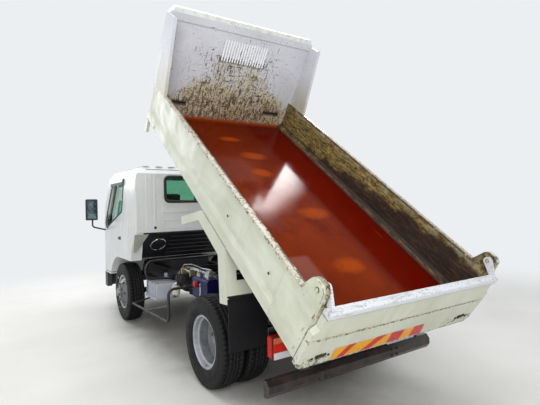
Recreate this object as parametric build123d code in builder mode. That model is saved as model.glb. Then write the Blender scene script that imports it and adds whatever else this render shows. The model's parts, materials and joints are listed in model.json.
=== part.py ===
"""Light cab-over dump truck, standing with its bed raised."""

import os
from math import atan2, cos, degrees, hypot, radians, sin

from build123d import *

# Driving dimensions, in millimetres, X forward from the rear axle, Y left, Z up from the ground
WHEELBASE = 2530
TYRE_R = 375
TYRE_W = 200
RIM_R = 203
RIM_HALF = 84
RIM_T = 6
BEAD_GAP = 0.3
DISC_T = 8
FRONT_WHEEL_Y = 700
TWIN_PITCH = 235
REAR_OUTER_Y = 735
STUD_CIRCLE_R = 100
HUB_BORE_R = 31
SPINDLE_R = 30
DRUM_R = 150

# Chassis frame
RAIL_Y = 360
RAIL_W = 60
RAIL_T = 6
RAIL_BOTTOM = 545
RAIL_TOP = 695
RAIL_REAR = -890
SUBFRAME_TOP = 770
PIN_CLEARANCE = 0.5

# Cab along the truck: it follows the front axle
FRONT_OVERHANG = 1030
CAB_LENGTH = 1680
CAB_FRONT = WHEELBASE + FRONT_OVERHANG
CAB_REAR = CAB_FRONT - CAB_LENGTH
CAB_BED_GAP = 139
RAIL_FRONT = CAB_FRONT - 140
SUBFRAME_FRONT = CAB_REAR - 320

# Bed, in the pose where it lies on the chassis
HINGE_X = -850
HINGE_Z = 780
HINGE_PIN_R = 17
BED_TILT = 36.0
BED_REAR = -1265
BED_FRONT = CAB_REAR - CAB_BED_GAP
FLOOR_Z = 950
FLOOR_T = 5
INNER_HALF = 800
WALL_T = 48
OUTER_HALF = INNER_HALF + WALL_T
SIDE_H = 320
HEADBOARD_H = 1080
HEADBOARD_T = 45
SILL_BOTTOM = 775
CROSS_BOTTOM = 865
CORNER_STRIP = 50
FLOOR_HALF = INNER_HALF - CORNER_STRIP
HOIST_CROSS_X = (-480, -140)
CROSS_PITCH = 340
FRONT_CROSS_X = [BED_FRONT - 321 - CROSS_PITCH * number for number in range(5)]
BED_CROSS_X = (-1030, -800, *HOIST_CROSS_X, *FRONT_CROSS_X)
BED_CROSS_W = 50
GATE_GAP = 5
GATE_T = 45
GATE_BOTTOM = 822
GATE_STEP_Z = 1150
GATE_PIN_X = -1205
GATE_PIN_Z = 1350
GATE_PIN_R = 14

# Hoist cylinder: pivot on the chassis and eye under the bed
HOIST_X = 500
HOIST_Z = 570
HOIST_EYE_X = -350
HOIST_EYE_Z = 860
BARREL_R = 55
BARREL_LENGTH = 620
ROD_R = 28
ROD_LENGTH = 740

# Cab
CAB_HALF = 835
CAB_TOP = 1970
CAB_WALL = 35
CAB_SIDE_WALL = 60
CAB_FLOOR_Z = 560
BELT_Z = 1250
REAR_PANEL_BOTTOM = 1175
ARCH_R = 455
DOOR_REAR = WHEELBASE - 230
DOOR_FRONT = WHEELBASE + 790
DOOR_GAP = 9
GLASS_T = 5
GLASS_GAP = 0.4
SOFT_GAP = 0.3
CAB_HINGE_X = CAB_FRONT - 60
CAB_HINGE_Z = 680
TUNNEL_HALF = 400
TUNNEL_TOP = 718
FRONT_PANEL_T = 12
PAN_FOOT_X = CAB_REAR + 280
CAB_PIN_R = 12

# Bumpers
REAR_BUMPER_X = -940
REAR_BUMPER_HALF = 815
REAR_BUMPER_BOTTOM = 250
REAR_BUMPER_TOP = 360

FRONT_AXLE = (WHEELBASE, 0, TYRE_R)
REAR_AXLE = (0, 0, TYRE_R)
KINGPIN_Y = FRONT_WHEEL_Y - TYRE_W / 2
WHEEL_OFFSET = TWIN_PITCH / 2
REAR_INNER_Y = REAR_OUTER_Y - TWIN_PITCH
WALL_TOP = FLOOR_Z + SIDE_H
HEADBOARD_TOP = FLOOR_Z + HEADBOARD_H
CAB_SIDE_BOTTOM = TYRE_R + ARCH_R

ON_CHASSIS = Location((0, 0, 0))
BED_RAISED = Pos(HINGE_X, 0, HINGE_Z) * Rot(0, -BED_TILT, 0) * Pos(-HINGE_X, 0, -HINGE_Z)

bed_angle = radians(BED_TILT)


def raised(x, z):
    """Where a point of the lying bed, as X and Z, stands when the bed is raised."""
    dx, dz = x - HINGE_X, z - HINGE_Z
    return HINGE_X + dx * cos(bed_angle) - dz * sin(bed_angle), HINGE_Z + dx * sin(bed_angle) + dz * cos(
        bed_angle,
    )


pieces = {}


def keep(piece, label, placement=ON_CHASSIS):
    """Place a finished piece on the truck under its name."""
    pieces[label] = placement * piece


def keep_pair(piece, label, placement=ON_CHASSIS):
    """Place a left piece and its mirror image on the right."""
    keep(piece, label + "_left", placement)
    keep(mirror(piece, about=Plane.XZ), label + "_right", placement)


def block(x_span, y_span, z_span, mode=Mode.ADD):
    """A box between two values on each axis."""
    spans = (x_span, y_span, z_span)
    with Locations(tuple((low + high) / 2 for low, high in spans)):
        Box(*(high - low for low, high in spans), mode=mode)


def mirrored_block(x_span, y_span, z_span, mode=Mode.ADD):
    """A box on the left and the same box on the right."""
    block(x_span, y_span, z_span, mode)
    block(x_span, (-y_span[1], -y_span[0]), z_span, mode)


def side_prism(outline, y_span, mode=Mode.ADD, radius=0):
    """A prism whose outline is seen from the side, as X and Z, between two Y values."""
    with BuildSketch(Plane.XZ.offset(-y_span[0])) as profile:
        Polygon(*outline, align=None)
        if radius:
            fillet(profile.vertices(), radius)
    extrude(profile.sketch, amount=y_span[0] - y_span[1], mode=mode)


def end_prism(outline, x_span, mode=Mode.ADD, radius=0):
    """A prism whose outline is seen from the end, as Y and Z, between two X values."""
    with BuildSketch(Plane.YZ.offset(x_span[0])) as profile:
        Polygon(*outline, align=None)
        if radius:
            fillet(profile.vertices(), radius)
    extrude(profile.sketch, amount=x_span[1] - x_span[0], mode=mode)


def top_prism(outline, z_span, mode=Mode.ADD, radius=0):
    """A prism whose outline is seen from above, as X and Y, between two Z values."""
    with BuildSketch(Plane.XY.offset(z_span[0])) as profile:
        Polygon(*outline, align=None)
        if radius:
            fillet(profile.vertices(), radius)
    extrude(profile.sketch, amount=z_span[1] - z_span[0], mode=mode)


def cross_pin(x, z, radius, y_span, mode=Mode.ADD):
    """A cylinder lying across the truck."""
    with Locations(Location((x, (y_span[0] + y_span[1]) / 2, z), (90, 0, 0))):
        Cylinder(radius, y_span[1] - y_span[0], mode=mode)


def turned(profile_points, mode=Mode.ADD):
    """A body turned about the Y axis, from points given as Y and radius."""
    with BuildSketch(Plane.XY) as profile:
        Polygon(*[(radius, y) for y, radius in profile_points], align=None)
    revolve(profile.sketch, axis=Axis.Y, mode=mode)


def bent_tube(points, bend_radius, tube_radius):
    """A tube along straight runs joined by bends, or along one straight run."""
    with BuildLine() as path:
        if len(points) == 2:
            Line(*points)
        else:
            FilletPolyline(*points, radius=bend_radius)
    start = path.line @ 0
    with BuildSketch(Plane(origin=start, z_dir=path.line % 0)) as section:
        Circle(tube_radius)
    sweep(section.sketch, path=path.line)


def mirror_points(points, across=False):
    """The left half of an outline, as Y and Z or across as X and Y, closed by its mirror image."""
    if across:
        return points + [(x, -y) for x, y in reversed(points)]
    return points + [(-y, z) for y, z in reversed(points)]


# Wheels
def bead_seat(y):
    """Radius of a tyre's bead at a distance from the wheel's centre plane."""
    return RIM_R - 3 + (y - 50) * 3 / (RIM_HALF - 56) + BEAD_GAP


def tyre(centre_y):
    """A tyre open at its beads, as an outer and an inner outline about its centre plane."""
    half = TYRE_W / 2
    outer = [
        (60, bead_seat(60)), (76, bead_seat(76)), (half, 270), (half - 4, 330), (half - 20, 366),
        (0, TYRE_R),
    ]
    inner = [(0, TYRE_R - 24), (half - 16, 320), (half - 16, 270)]
    profile = outer + [(-y, r) for y, r in reversed(outer[:-1])]
    profile += [(-y, r) for y, r in reversed(inner[1:])] + inner
    turned([(centre_y + y, r) for y, r in profile])


def disc_wheel(centre_y, face):
    """A steel wheel: rim and dished disc, whose mounting face lies towards face, +1 or -1."""
    rim = [
        (-RIM_HALF, RIM_R + 13),
        (-RIM_HALF + 6, RIM_R),
        (-50, RIM_R - 3),
        (-38, RIM_R - 19),
        (38, RIM_R - 19),
        (50, RIM_R - 3),
        (RIM_HALF - 6, RIM_R),
        (RIM_HALF, RIM_R + 13),
    ]
    rim_ring = rim + [(y, r - RIM_T) for y, r in reversed(rim)]
    turned([(centre_y + y, r) for y, r in rim_ring])
    well_r = RIM_R - 19 - RIM_T + 2
    disc = [
        (WHEEL_OFFSET, 80),
        (WHEEL_OFFSET, 120),
        (82, 156),
        (60, well_r),
        (38, well_r),
        (64, 150),
        (WHEEL_OFFSET - DISC_T, 114),
        (WHEEL_OFFSET - DISC_T, 80),
    ]
    turned([(centre_y + face * y, r) for y, r in disc])
    for turn in range(6):
        angle = radians(60 * turn)
        cross_pin(
            138 * cos(angle), 138 * sin(angle), 17,
            (centre_y - WHEEL_OFFSET, centre_y + WHEEL_OFFSET), Mode.SUBTRACT,
        )


AT_FRONT = Pos(*FRONT_AXLE)
AT_REAR = Pos(*REAR_AXLE)

with BuildPart() as front_tyre:
    tyre(FRONT_WHEEL_Y)
keep_pair(front_tyre.part, "front_tyre", AT_FRONT)

with BuildPart() as rear_tyres:
    tyre(REAR_OUTER_Y)
    tyre(REAR_INNER_Y)
keep_pair(rear_tyres.part, "rear_tyres", AT_REAR)

# Hubs with their brake drums
FRONT_FACE_Y = FRONT_WHEEL_Y + WHEEL_OFFSET - DISC_T
FRONT_DRUM_Y = FRONT_WHEEL_Y - 32
REAR_FACE_Y = REAR_INNER_Y + WHEEL_OFFSET - DISC_T
REAR_DRUM_Y = REAR_INNER_Y - 45
DRUM_T = 10
HUB_R = 60
PILOT_R = 78
STUD_R = 9
NUT_R = 13


def hub(inner_y, drum_y, face_y, cap_y, nut_face_y):
    """A hub on its spindle: bored barrel, drum, flange, pilot with cap and wheel nuts."""
    turned([
        (inner_y, HUB_BORE_R),
        (inner_y, HUB_R),
        (face_y - 26, HUB_R),
        (face_y - 26, 100),
        (face_y - 80, DRUM_R - DRUM_T),
        (drum_y, DRUM_R - DRUM_T),
        (drum_y, DRUM_R),
        (face_y - 72, DRUM_R),
        (face_y - 50, 136),
        (face_y - 12, 112),
        (face_y, 112),
        (face_y, PILOT_R),
        (nut_face_y + 10, PILOT_R),
        (nut_face_y + 16, 56),
        (cap_y, 48),
        (cap_y, 0),
        (cap_y - 12, 0),
        (cap_y - 12, HUB_BORE_R),
    ])
    for turn in range(6):
        angle = radians(60 * turn + 30)
        x, z = STUD_CIRCLE_R * cos(angle), STUD_CIRCLE_R * sin(angle)
        cross_pin(x, z, NUT_R, (nut_face_y, nut_face_y + 18))
        cross_pin(x, z, STUD_R, (face_y - 1, nut_face_y + 26))


with BuildPart() as front_wheel:
    disc_wheel(FRONT_WHEEL_Y, 1)
    hub(FRONT_DRUM_Y - 2, FRONT_DRUM_Y, FRONT_FACE_Y, FRONT_FACE_Y + 50, FRONT_FACE_Y + DISC_T)
keep_pair(front_wheel.part, "front_wheel", AT_FRONT)

with BuildPart() as rear_wheels:
    disc_wheel(REAR_OUTER_Y, -1)
    disc_wheel(REAR_INNER_Y, 1)
    hub(REAR_DRUM_Y - 2, REAR_DRUM_Y, REAR_FACE_Y, REAR_FACE_Y + 90, REAR_FACE_Y + 2 * DISC_T)
keep_pair(rear_wheels.part, "rear_wheels", AT_REAR)

# Front axle, knuckles and springs
EYE_R = 32
KINGPIN_R = 15
AXLE_EYE = (TYRE_R - 45, TYRE_R + 45)
LUG_GAP = 1
LUG_T = 28
SPRING_HALF_W = 30
SPRING_Y = RAIL_Y - RAIL_W / 2
FRONT_SPRING_LENGTH = 1150
REAR_SPRING_LENGTH = 1220

with BuildPart() as front_axle:
    end_prism(
        mirror_points([
            (270, TYRE_R + 15), (450, TYRE_R + 15), (KINGPIN_Y - 10, TYRE_R + 30),
            (KINGPIN_Y - 10, TYRE_R - 30), (450, TYRE_R - 45), (270, TYRE_R - 45),
        ]),
        (WHEELBASE - 35, WHEELBASE + 35),
    )
    for face in (-1, 1):
        block(
            (WHEELBASE + face * 24 - 12, WHEELBASE + face * 24 + 12), (-420, 420),
            (TYRE_R - 30, TYRE_R), Mode.SUBTRACT,
        )
        with Locations((WHEELBASE, face * KINGPIN_Y, TYRE_R)):
            Cylinder(EYE_R, AXLE_EYE[1] - AXLE_EYE[0])
            Cylinder(KINGPIN_R, AXLE_EYE[1] - AXLE_EYE[0] + 2 * (LUG_GAP + LUG_T))
keep(front_axle.part, "front_axle")

SPINDLE_ROOT_Y = FRONT_DRUM_Y - 12
SPINDLE_END_Y = FRONT_FACE_Y + 30
with BuildPart() as knuckle:
    for z in (AXLE_EYE[1] + LUG_GAP + LUG_T / 2, AXLE_EYE[0] - LUG_GAP - LUG_T / 2):
        with Locations((WHEELBASE, KINGPIN_Y, z)):
            Cylinder(EYE_R, LUG_T)
        block(
            (WHEELBASE - EYE_R, WHEELBASE + EYE_R), (KINGPIN_Y, SPINDLE_ROOT_Y),
            (z - LUG_T / 2, z + LUG_T / 2),
        )
        with Locations((WHEELBASE, KINGPIN_Y, z)):
            Cylinder(KINGPIN_R + PIN_CLEARANCE, LUG_T, mode=Mode.SUBTRACT)
    web_z = (AXLE_EYE[0] - LUG_GAP - LUG_T, AXLE_EYE[1] + LUG_GAP + LUG_T)
    block((WHEELBASE - EYE_R, WHEELBASE + EYE_R), (KINGPIN_Y + EYE_R + 4, SPINDLE_ROOT_Y), web_z)
    cross_pin(WHEELBASE, TYRE_R, DRUM_R - 4, (SPINDLE_ROOT_Y, SPINDLE_ROOT_Y + 4))
    cross_pin(WHEELBASE, TYRE_R, SPINDLE_R, (SPINDLE_ROOT_Y, SPINDLE_END_Y))
    top_prism(
        [
            (WHEELBASE - 20, KINGPIN_Y - 20), (WHEELBASE - 150, KINGPIN_Y - 45),
            (WHEELBASE - 165, KINGPIN_Y - 20), (WHEELBASE - 20, KINGPIN_Y + 20),
        ],
        (web_z[0], web_z[0] + 20),
    )
    with Locations((WHEELBASE, KINGPIN_Y, web_z[0] + 10)):
        Cylinder(KINGPIN_R + PIN_CLEARANCE, 30, mode=Mode.SUBTRACT)
keep_pair(knuckle.part, "knuckle")


def leaf_spring(centre_x, length, seat_z, eye_z, leaf_count, leaf_t):
    """A pack of bowed leaves, shorter towards the seat, with rolled eyes and a hanger at each end."""
    half = length / 2
    sag = eye_z - seat_z - leaf_count * leaf_t
    y_span = (SPRING_Y - SPRING_HALF_W, SPRING_Y + SPRING_HALF_W)
    for number in range(leaf_count):
        reach = half * (1 - 0.17 * number)
        low = seat_z + (leaf_count - 1 - number) * leaf_t
        rise = sag * (reach / half) ** 2
        with BuildSketch(Plane.XZ.offset(-y_span[0])) as profile:
            with BuildLine():
                ThreePointArc(
                    (centre_x - reach, low + rise), (centre_x, low), (centre_x + reach, low + rise),
                )
                Line((centre_x + reach, low + rise), (centre_x + reach, low + rise + leaf_t))
                ThreePointArc(
                    (centre_x + reach, low + rise + leaf_t), (centre_x, low + leaf_t),
                    (centre_x - reach, low + rise + leaf_t),
                )
                Line((centre_x - reach, low + rise + leaf_t), (centre_x - reach, low + rise))
            make_face()
        extrude(profile.sketch, amount=y_span[0] - y_span[1])
    for x in (centre_x - half, centre_x + half):
        cross_pin(x, eye_z, 22, y_span)
        side_prism([(x - 14, eye_z), (x + 14, eye_z), (x + 34, RAIL_BOTTOM), (x - 34, RAIL_BOTTOM)], y_span)
    block(
        (centre_x - 55, centre_x + 55), y_span,
        (seat_z + leaf_count * leaf_t - 2, seat_z + leaf_count * leaf_t + 12),
    )


with BuildPart() as front_springs:
    leaf_spring(WHEELBASE, FRONT_SPRING_LENGTH, TYRE_R + 15, 505, 4, 11)
    mirror(about=Plane.XZ)
keep(front_springs.part, "front_springs")

with BuildPart() as rear_axle:
    turned([
        (-430, 0), (-430, 50), (-150, 50), (-95, 135), (95, 135), (150, 50), (430, 50), (430, 0),
    ])
    for side in (-1, 1):
        cross_pin(0, 0, SPINDLE_R, (side * 515 - 85, side * 515 + 85))
        cross_pin(0, 0, DRUM_R - 4, (side * (REAR_DRUM_Y - 10) - 2, side * (REAR_DRUM_Y - 10) + 2))
        block((-45, 45), (side * SPRING_Y - 32, side * SPRING_Y + 32), (0, 58))
    with Locations(Location((120, 0, 0), (0, 90, 0))):
        Cone(90, 45, 130)
keep(rear_axle.part, "rear_axle", AT_REAR)

with BuildPart() as rear_springs:
    leaf_spring(0, REAR_SPRING_LENGTH, TYRE_R + 58, 520, 5, 11)
    mirror(about=Plane.XZ)
keep(rear_springs.part, "rear_springs")

# Chassis frame: two channel rails and their crossmembers
CROSS_X = (-840, 590, CAB_REAR - 500, RAIL_FRONT - 80)
LAMP_X = -760
with BuildPart() as chassis_frame:
    mirrored_block((RAIL_REAR, RAIL_FRONT), (RAIL_Y - RAIL_W, RAIL_Y), (RAIL_BOTTOM, RAIL_TOP))
    mirrored_block(
        (RAIL_REAR, RAIL_FRONT), (RAIL_Y - RAIL_W, RAIL_Y - RAIL_T),
        (RAIL_BOTTOM + RAIL_T, RAIL_TOP - RAIL_T), Mode.SUBTRACT,
    )
    for x in CROSS_X:
        block((x - 30, x + 30), (-RAIL_Y + RAIL_T, RAIL_Y - RAIL_T), (RAIL_BOTTOM + 10, RAIL_TOP - 10))
        block(
            (x - 30 + RAIL_T, x + 30), (-RAIL_Y + RAIL_W + 10, RAIL_Y - RAIL_W - 10),
            (RAIL_BOTTOM + 10 + RAIL_T, RAIL_TOP - 10 - RAIL_T), Mode.SUBTRACT,
        )
    for side in (-1, 1):
        side_prism(
            [
                (HOIST_X - 34, HOIST_Z), (HOIST_X + 60, RAIL_TOP - 10), (HOIST_X + 60, RAIL_BOTTOM),
                (HOIST_X, HOIST_Z - 34),
            ],
            (side * 36 - 6, side * 36 + 6),
        )
    cross_pin(HOIST_X, HOIST_Z, 15, (-42, 42))
    for side in (-1, 1):
        side_prism(
            [
                (RAIL_REAR, RAIL_TOP), (RAIL_REAR, HINGE_Z), (HINGE_X - 20, HINGE_Z + 36),
                (HINGE_X + 30, HINGE_Z + 30), (HINGE_X + 90, RAIL_TOP),
            ],
            (side * (RAIL_Y + 12) - 6, side * (RAIL_Y + 12) + 6),
        )
        block(
            (RAIL_REAR, HINGE_X + 90),
            (side * (RAIL_Y + 9) - 9, side * (RAIL_Y + 9) + 9), (RAIL_BOTTOM + 40, RAIL_TOP),
        )
        cross_pin(HINGE_X, HINGE_Z, HINGE_PIN_R, (side * 333 - 45, side * 333 + 45))
        side_prism(
            [
                (RAIL_FRONT - 90, RAIL_BOTTOM + 20), (RAIL_FRONT, RAIL_BOTTOM + 20),
                (CAB_HINGE_X + 10, CAB_HINGE_Z - 40),
                (CAB_HINGE_X + 10, CAB_HINGE_Z + 22), (CAB_HINGE_X - 24, CAB_HINGE_Z + 22),
                (RAIL_FRONT - 90, RAIL_TOP),
            ],
            (side * (RAIL_Y - RAIL_T / 2) - RAIL_T / 2, side * (RAIL_Y - RAIL_T / 2) + RAIL_T / 2),
        )
        cross_pin(CAB_HINGE_X, CAB_HINGE_Z, CAB_PIN_R, (side * 330 - 30, side * 330 + 30))
    mirrored_block((LAMP_X, LAMP_X + 6), (RAIL_Y, 690), (545, 640))
    mirrored_block((LAMP_X, LAMP_X + 6), (560, 660), (460, 545))
keep(chassis_frame.part, "chassis_frame")

with BuildPart() as tipping_subframe:
    mirrored_block((HINGE_X + 60, SUBFRAME_FRONT), (RAIL_Y - RAIL_W, RAIL_Y), (RAIL_TOP, SUBFRAME_TOP))
    mirrored_block(
        (HINGE_X + 60, SUBFRAME_FRONT), (RAIL_Y - RAIL_W, RAIL_Y - RAIL_T),
        (RAIL_TOP + RAIL_T, SUBFRAME_TOP - RAIL_T), Mode.SUBTRACT,
    )
    for x in (HINGE_X + 110, 700, SUBFRAME_FRONT - 60):
        block(
            (x - 25, x + 25), (-RAIL_Y + RAIL_T, RAIL_Y - RAIL_T),
            (RAIL_TOP + RAIL_T, SUBFRAME_TOP - RAIL_T),
        )
keep(tipping_subframe.part, "tipping_subframe")

# Drive line
ENGINE_X = (WHEELBASE - 380, WHEELBASE + 350)
ENGINE_HALF = 270
ENGINE_MOUNT_X = WHEELBASE - 90
GEARBOX_REAR = ENGINE_X[0] - 630
with BuildPart() as engine:
    block(ENGINE_X, (-ENGINE_HALF, ENGINE_HALF), (480, 800))
    block((ENGINE_X[1], ENGINE_X[1] + 50), (-ENGINE_HALF + 40, ENGINE_HALF - 40), (500, 780))
    mirrored_block((ENGINE_MOUNT_X - 40, ENGINE_MOUNT_X + 40), (ENGINE_HALF, RAIL_Y - RAIL_T), (600, 660))
    with Locations(Location(((GEARBOX_REAR + ENGINE_X[0]) / 2, 0, 520), (0, -90, 0))):
        Cone(190, 110, ENGINE_X[0] - GEARBOX_REAR)
    block((GEARBOX_REAR + 180, GEARBOX_REAR + 380), (-130, 130), (360, 520))
keep(engine.part, "engine")

SHAFT_FRONT = (GEARBOX_REAR, 510)
SHAFT_REAR = (185, TYRE_R)
SHAFT_END_GAP = 2.5
with BuildPart() as propeller_shaft:
    run = (SHAFT_FRONT[0] - SHAFT_REAR[0], SHAFT_FRONT[1] - SHAFT_REAR[1])
    tilt = 90 - degrees(atan2(run[1], run[0]))
    middle = ((SHAFT_FRONT[0] + SHAFT_REAR[0]) / 2, 0, (SHAFT_FRONT[1] + SHAFT_REAR[1]) / 2)
    with Locations(Location(middle, (0, tilt, 0))):
        Cylinder(34, hypot(*run) - 60)
        Cylinder(22, hypot(*run) - 2 * SHAFT_END_GAP)
keep(propeller_shaft.part, "propeller_shaft")

# Tanks and boxes beside the rails
FUEL_X = (720, 1320)
FUEL_Y = (-780, -RAIL_Y - 25)
FUEL_Z = (330, 640)
FUEL_CORNER = 45
STRAP_T = 3
with BuildPart() as fuel_tank:
    for x_span, proud in (
        (FUEL_X, 0), ((FUEL_X[0] + 100, FUEL_X[0] + 140), STRAP_T),
        ((FUEL_X[1] - 140, FUEL_X[1] - 100), STRAP_T),
    ):
        y_span = (FUEL_Y[0] - proud, FUEL_Y[1] + proud)
        z_span = (FUEL_Z[0] - proud, FUEL_Z[1] + proud)
        end_prism(
            [
                (y_span[0], z_span[0]), (y_span[1], z_span[0]), (y_span[1], z_span[1]),
                (y_span[0], z_span[1]),
            ],
            x_span, radius=FUEL_CORNER + proud,
        )
    for x in (FUEL_X[0] + 120, FUEL_X[1] - 120):
        block((x - 20, x + 20), (FUEL_Y[1], -RAIL_Y), (FUEL_Z[1] - 80, FUEL_Z[1] - FUEL_CORNER))
    with Locations((FUEL_X[1] - 60, FUEL_Y[0] + 80, FUEL_Z[1] + 10)):
        Cylinder(32, 40)
keep(fuel_tank.part, "fuel_tank")

TANK_X = (502, 840)
TANK_OUTER_Y = 540
TANK_Z = (560, 770)
CAP_R = 28
with BuildPart() as hydraulic_tank:
    block(TANK_X, (RAIL_Y + 12, TANK_OUTER_Y), TANK_Z)
    fillet(hydraulic_tank.edges().filter_by(Axis.X), 30)
    for x in (TANK_X[0] + 60, TANK_X[1] - 60):
        block((x - 20, x + 20), (RAIL_Y, RAIL_Y + 12), (TANK_Z[0] + 40, TANK_Z[0] + 120))
    cross_pin(TANK_X[1] - 110, TANK_Z[1] - 65, CAP_R - 8, (TANK_OUTER_Y, TANK_OUTER_Y + 12))
    cross_pin(TANK_X[1] - 110, TANK_Z[1] - 65, CAP_R, (TANK_OUTER_Y + 12, TANK_OUTER_Y + 34))
keep(hydraulic_tank.part, "hydraulic_tank")

BATTERY_X = (CAB_REAR - 220, CAB_REAR + 160)
BATTERY_Y = (430, 630)
BATTERY_Z = (392, 570)
TRAY_T = 4
with BuildPart() as battery_box:
    block(BATTERY_X, BATTERY_Y, BATTERY_Z)
    fillet(battery_box.edges().filter_by(Axis.Y), 12)
    block(
        (BATTERY_X[0] - 10, BATTERY_X[1] + 10), (RAIL_Y, BATTERY_Y[1] + 12),
        (BATTERY_Z[0] - TRAY_T, BATTERY_Z[0]),
    )
    block(
        (BATTERY_X[0] - 10, BATTERY_X[1] + 10), (BATTERY_Y[1] + 8, BATTERY_Y[1] + 12),
        (BATTERY_Z[0] - TRAY_T, BATTERY_Z[0] + 30),
    )
    for x in (BATTERY_X[0] - 10, BATTERY_X[1] + 6):
        side_prism(
            [
                (x, BATTERY_Z[0] - TRAY_T), (x + TRAY_T, BATTERY_Z[0] - TRAY_T),
                (x + TRAY_T, RAIL_TOP - 60), (x, RAIL_TOP - 60),
            ],
            (RAIL_Y, RAIL_Y + 40),
        )
    block(BATTERY_X, (RAIL_Y, BATTERY_Y[0]), (BATTERY_Z[1] - 25, BATTERY_Z[1]))
    for x in (BATTERY_X[0] + 60, BATTERY_X[1] - 60):
        block((x - 8, x + 8), (BATTERY_Y[0], BATTERY_Y[1] + 3), (BATTERY_Z[1] - 4, BATTERY_Z[1] + 3))
keep(battery_box.part, "battery_box")

MUFFLER_X = (920, 1440)
MUFFLER_Y = -250
MUFFLER_Z = 430
with BuildPart() as exhaust:
    with Locations(Location(((MUFFLER_X[0] + MUFFLER_X[1]) / 2, MUFFLER_Y, MUFFLER_Z), (0, 90, 0))):
        Cylinder(85, MUFFLER_X[1] - MUFFLER_X[0])
    bent_tube(
        [(MUFFLER_X[0] + 5, MUFFLER_Y, MUFFLER_Z), (560, MUFFLER_Y, MUFFLER_Z), (560, -720, MUFFLER_Z - 10)],
        90, 26,
    )
    bent_tube(
        [
            (MUFFLER_X[1] - 5, MUFFLER_Y, MUFFLER_Z), (MUFFLER_X[1] + 260, MUFFLER_Y, MUFFLER_Z),
            (ENGINE_X[0] - 150, MUFFLER_Y, 470), (ENGINE_X[0] - 5, MUFFLER_Y, 500),
        ],
        90, 26,
    )
keep(exhaust.part, "exhaust")

# Rear bumper, its carrier plate and lamps
CARRIER_X = RAIL_REAR - 8
CARRIER_Y = (-680, 440)
PLATE_X = CARRIER_X - 16
PLATE_Y = (-645, -315)
PLATE_Z = (REAR_BUMPER_TOP + 4, REAR_BUMPER_TOP + 169)
with BuildPart() as rear_bumper:
    half_h = (REAR_BUMPER_TOP - REAR_BUMPER_BOTTOM) / 2
    mid_z = (REAR_BUMPER_TOP + REAR_BUMPER_BOTTOM) / 2
    side_prism(
        [
            (REAR_BUMPER_X, mid_z - 22), (REAR_BUMPER_X, mid_z + 22), (REAR_BUMPER_X + 26, mid_z + half_h),
            (REAR_BUMPER_X + 60, mid_z + half_h), (REAR_BUMPER_X + 60, mid_z - half_h),
            (REAR_BUMPER_X + 26, mid_z - half_h),
        ],
        (-REAR_BUMPER_HALF, REAR_BUMPER_HALF),
    )
    for side in (-1, 1):
        side_prism(
            [
                (REAR_BUMPER_X + 60, mid_z - 40), (REAR_BUMPER_X + 60, mid_z + 60),
                (RAIL_REAR + 30, RAIL_BOTTOM),
                (RAIL_REAR + 170, RAIL_BOTTOM), (REAR_BUMPER_X + 150, mid_z - 20),
            ],
            (side * SPRING_Y - 5, side * SPRING_Y + 5),
        )
    block((CARRIER_X, CARRIER_X + 5), CARRIER_Y, (REAR_BUMPER_TOP - 10, RAIL_BOTTOM))
    for y in (CARRIER_Y[0], 110, CARRIER_Y[1]):
        block(
            (REAR_BUMPER_X + 26, CARRIER_X + 2), (y - 3, y + 3),
            (REAR_BUMPER_TOP - 10, REAR_BUMPER_TOP + 50),
        )
keep(rear_bumper.part, "rear_bumper")

with BuildPart() as rear_plate:
    block((PLATE_X, PLATE_X + 2), PLATE_Y, PLATE_Z)
    fillet(rear_plate.edges().filter_by(Axis.X), 12)
    for y in (PLATE_Y[0] + 60, PLATE_Y[1] - 60):
        block((PLATE_X + 2, CARRIER_X), (y - 10, y + 10), (PLATE_Z[1] - 40, PLATE_Z[1] - 20))
keep(rear_plate.part, "rear_plate")

with BuildPart() as tail_lamps:
    block((LAMP_X - 70, LAMP_X), (520, 700), (440, 590))
    fillet(tail_lamps.edges().filter_by(Axis.X), 14)
    mirror(about=Plane.XZ)
keep(tail_lamps.part, "tail_lamps")

# Guard rails and cab stay
GUARD_Y = 780
GUARD_FRONT_X = WHEELBASE - 440
HOOP_X = 885
HOOP_Z = 655
GUARD_TUBE_R = 14
GUARD_BEND_R = 60
GUARD_Z = (300, 330)
GUARD_STAY_X = GUARD_FRONT_X - 18


def guard(side, hoop_x):
    """A rail behind the front wheel, its hoop up to the chassis, a diagonal brace and a front stay."""
    y, rail_y = side * GUARD_Y, side * RAIL_Y
    bent_tube(
        [
            (GUARD_FRONT_X, y, GUARD_Z[0]), (hoop_x, y, GUARD_Z[1]), (hoop_x, y, HOOP_Z),
            (hoop_x, rail_y, HOOP_Z),
        ],
        GUARD_BEND_R, GUARD_TUBE_R,
    )
    brace_foot = hoop_x + (GUARD_FRONT_X - hoop_x) * 0.6
    bent_tube(
        [(hoop_x, y, GUARD_Z[1] + 160), (brace_foot, y, GUARD_Z[0] + 12)], GUARD_BEND_R, GUARD_TUBE_R - 3,
    )
    bent_tube(
        [
            (GUARD_STAY_X, y, GUARD_Z[0] + 3), (GUARD_STAY_X, rail_y + side * 90, GUARD_Z[0] + 72),
            (GUARD_STAY_X, rail_y + side * 12, RAIL_BOTTOM + 30),
        ],
        GUARD_BEND_R, GUARD_TUBE_R - 3,
    )
    bracket_y = sorted((rail_y, rail_y + side * 8))
    block((GUARD_STAY_X - 20, GUARD_STAY_X + 20), bracket_y, (RAIL_BOTTOM + 10, RAIL_TOP - 50))


with BuildPart() as side_guards:
    guard(1, HOOP_X)
    guard(-1, FUEL_X[1] + 45)
keep(side_guards.part, "side_guards")

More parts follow.
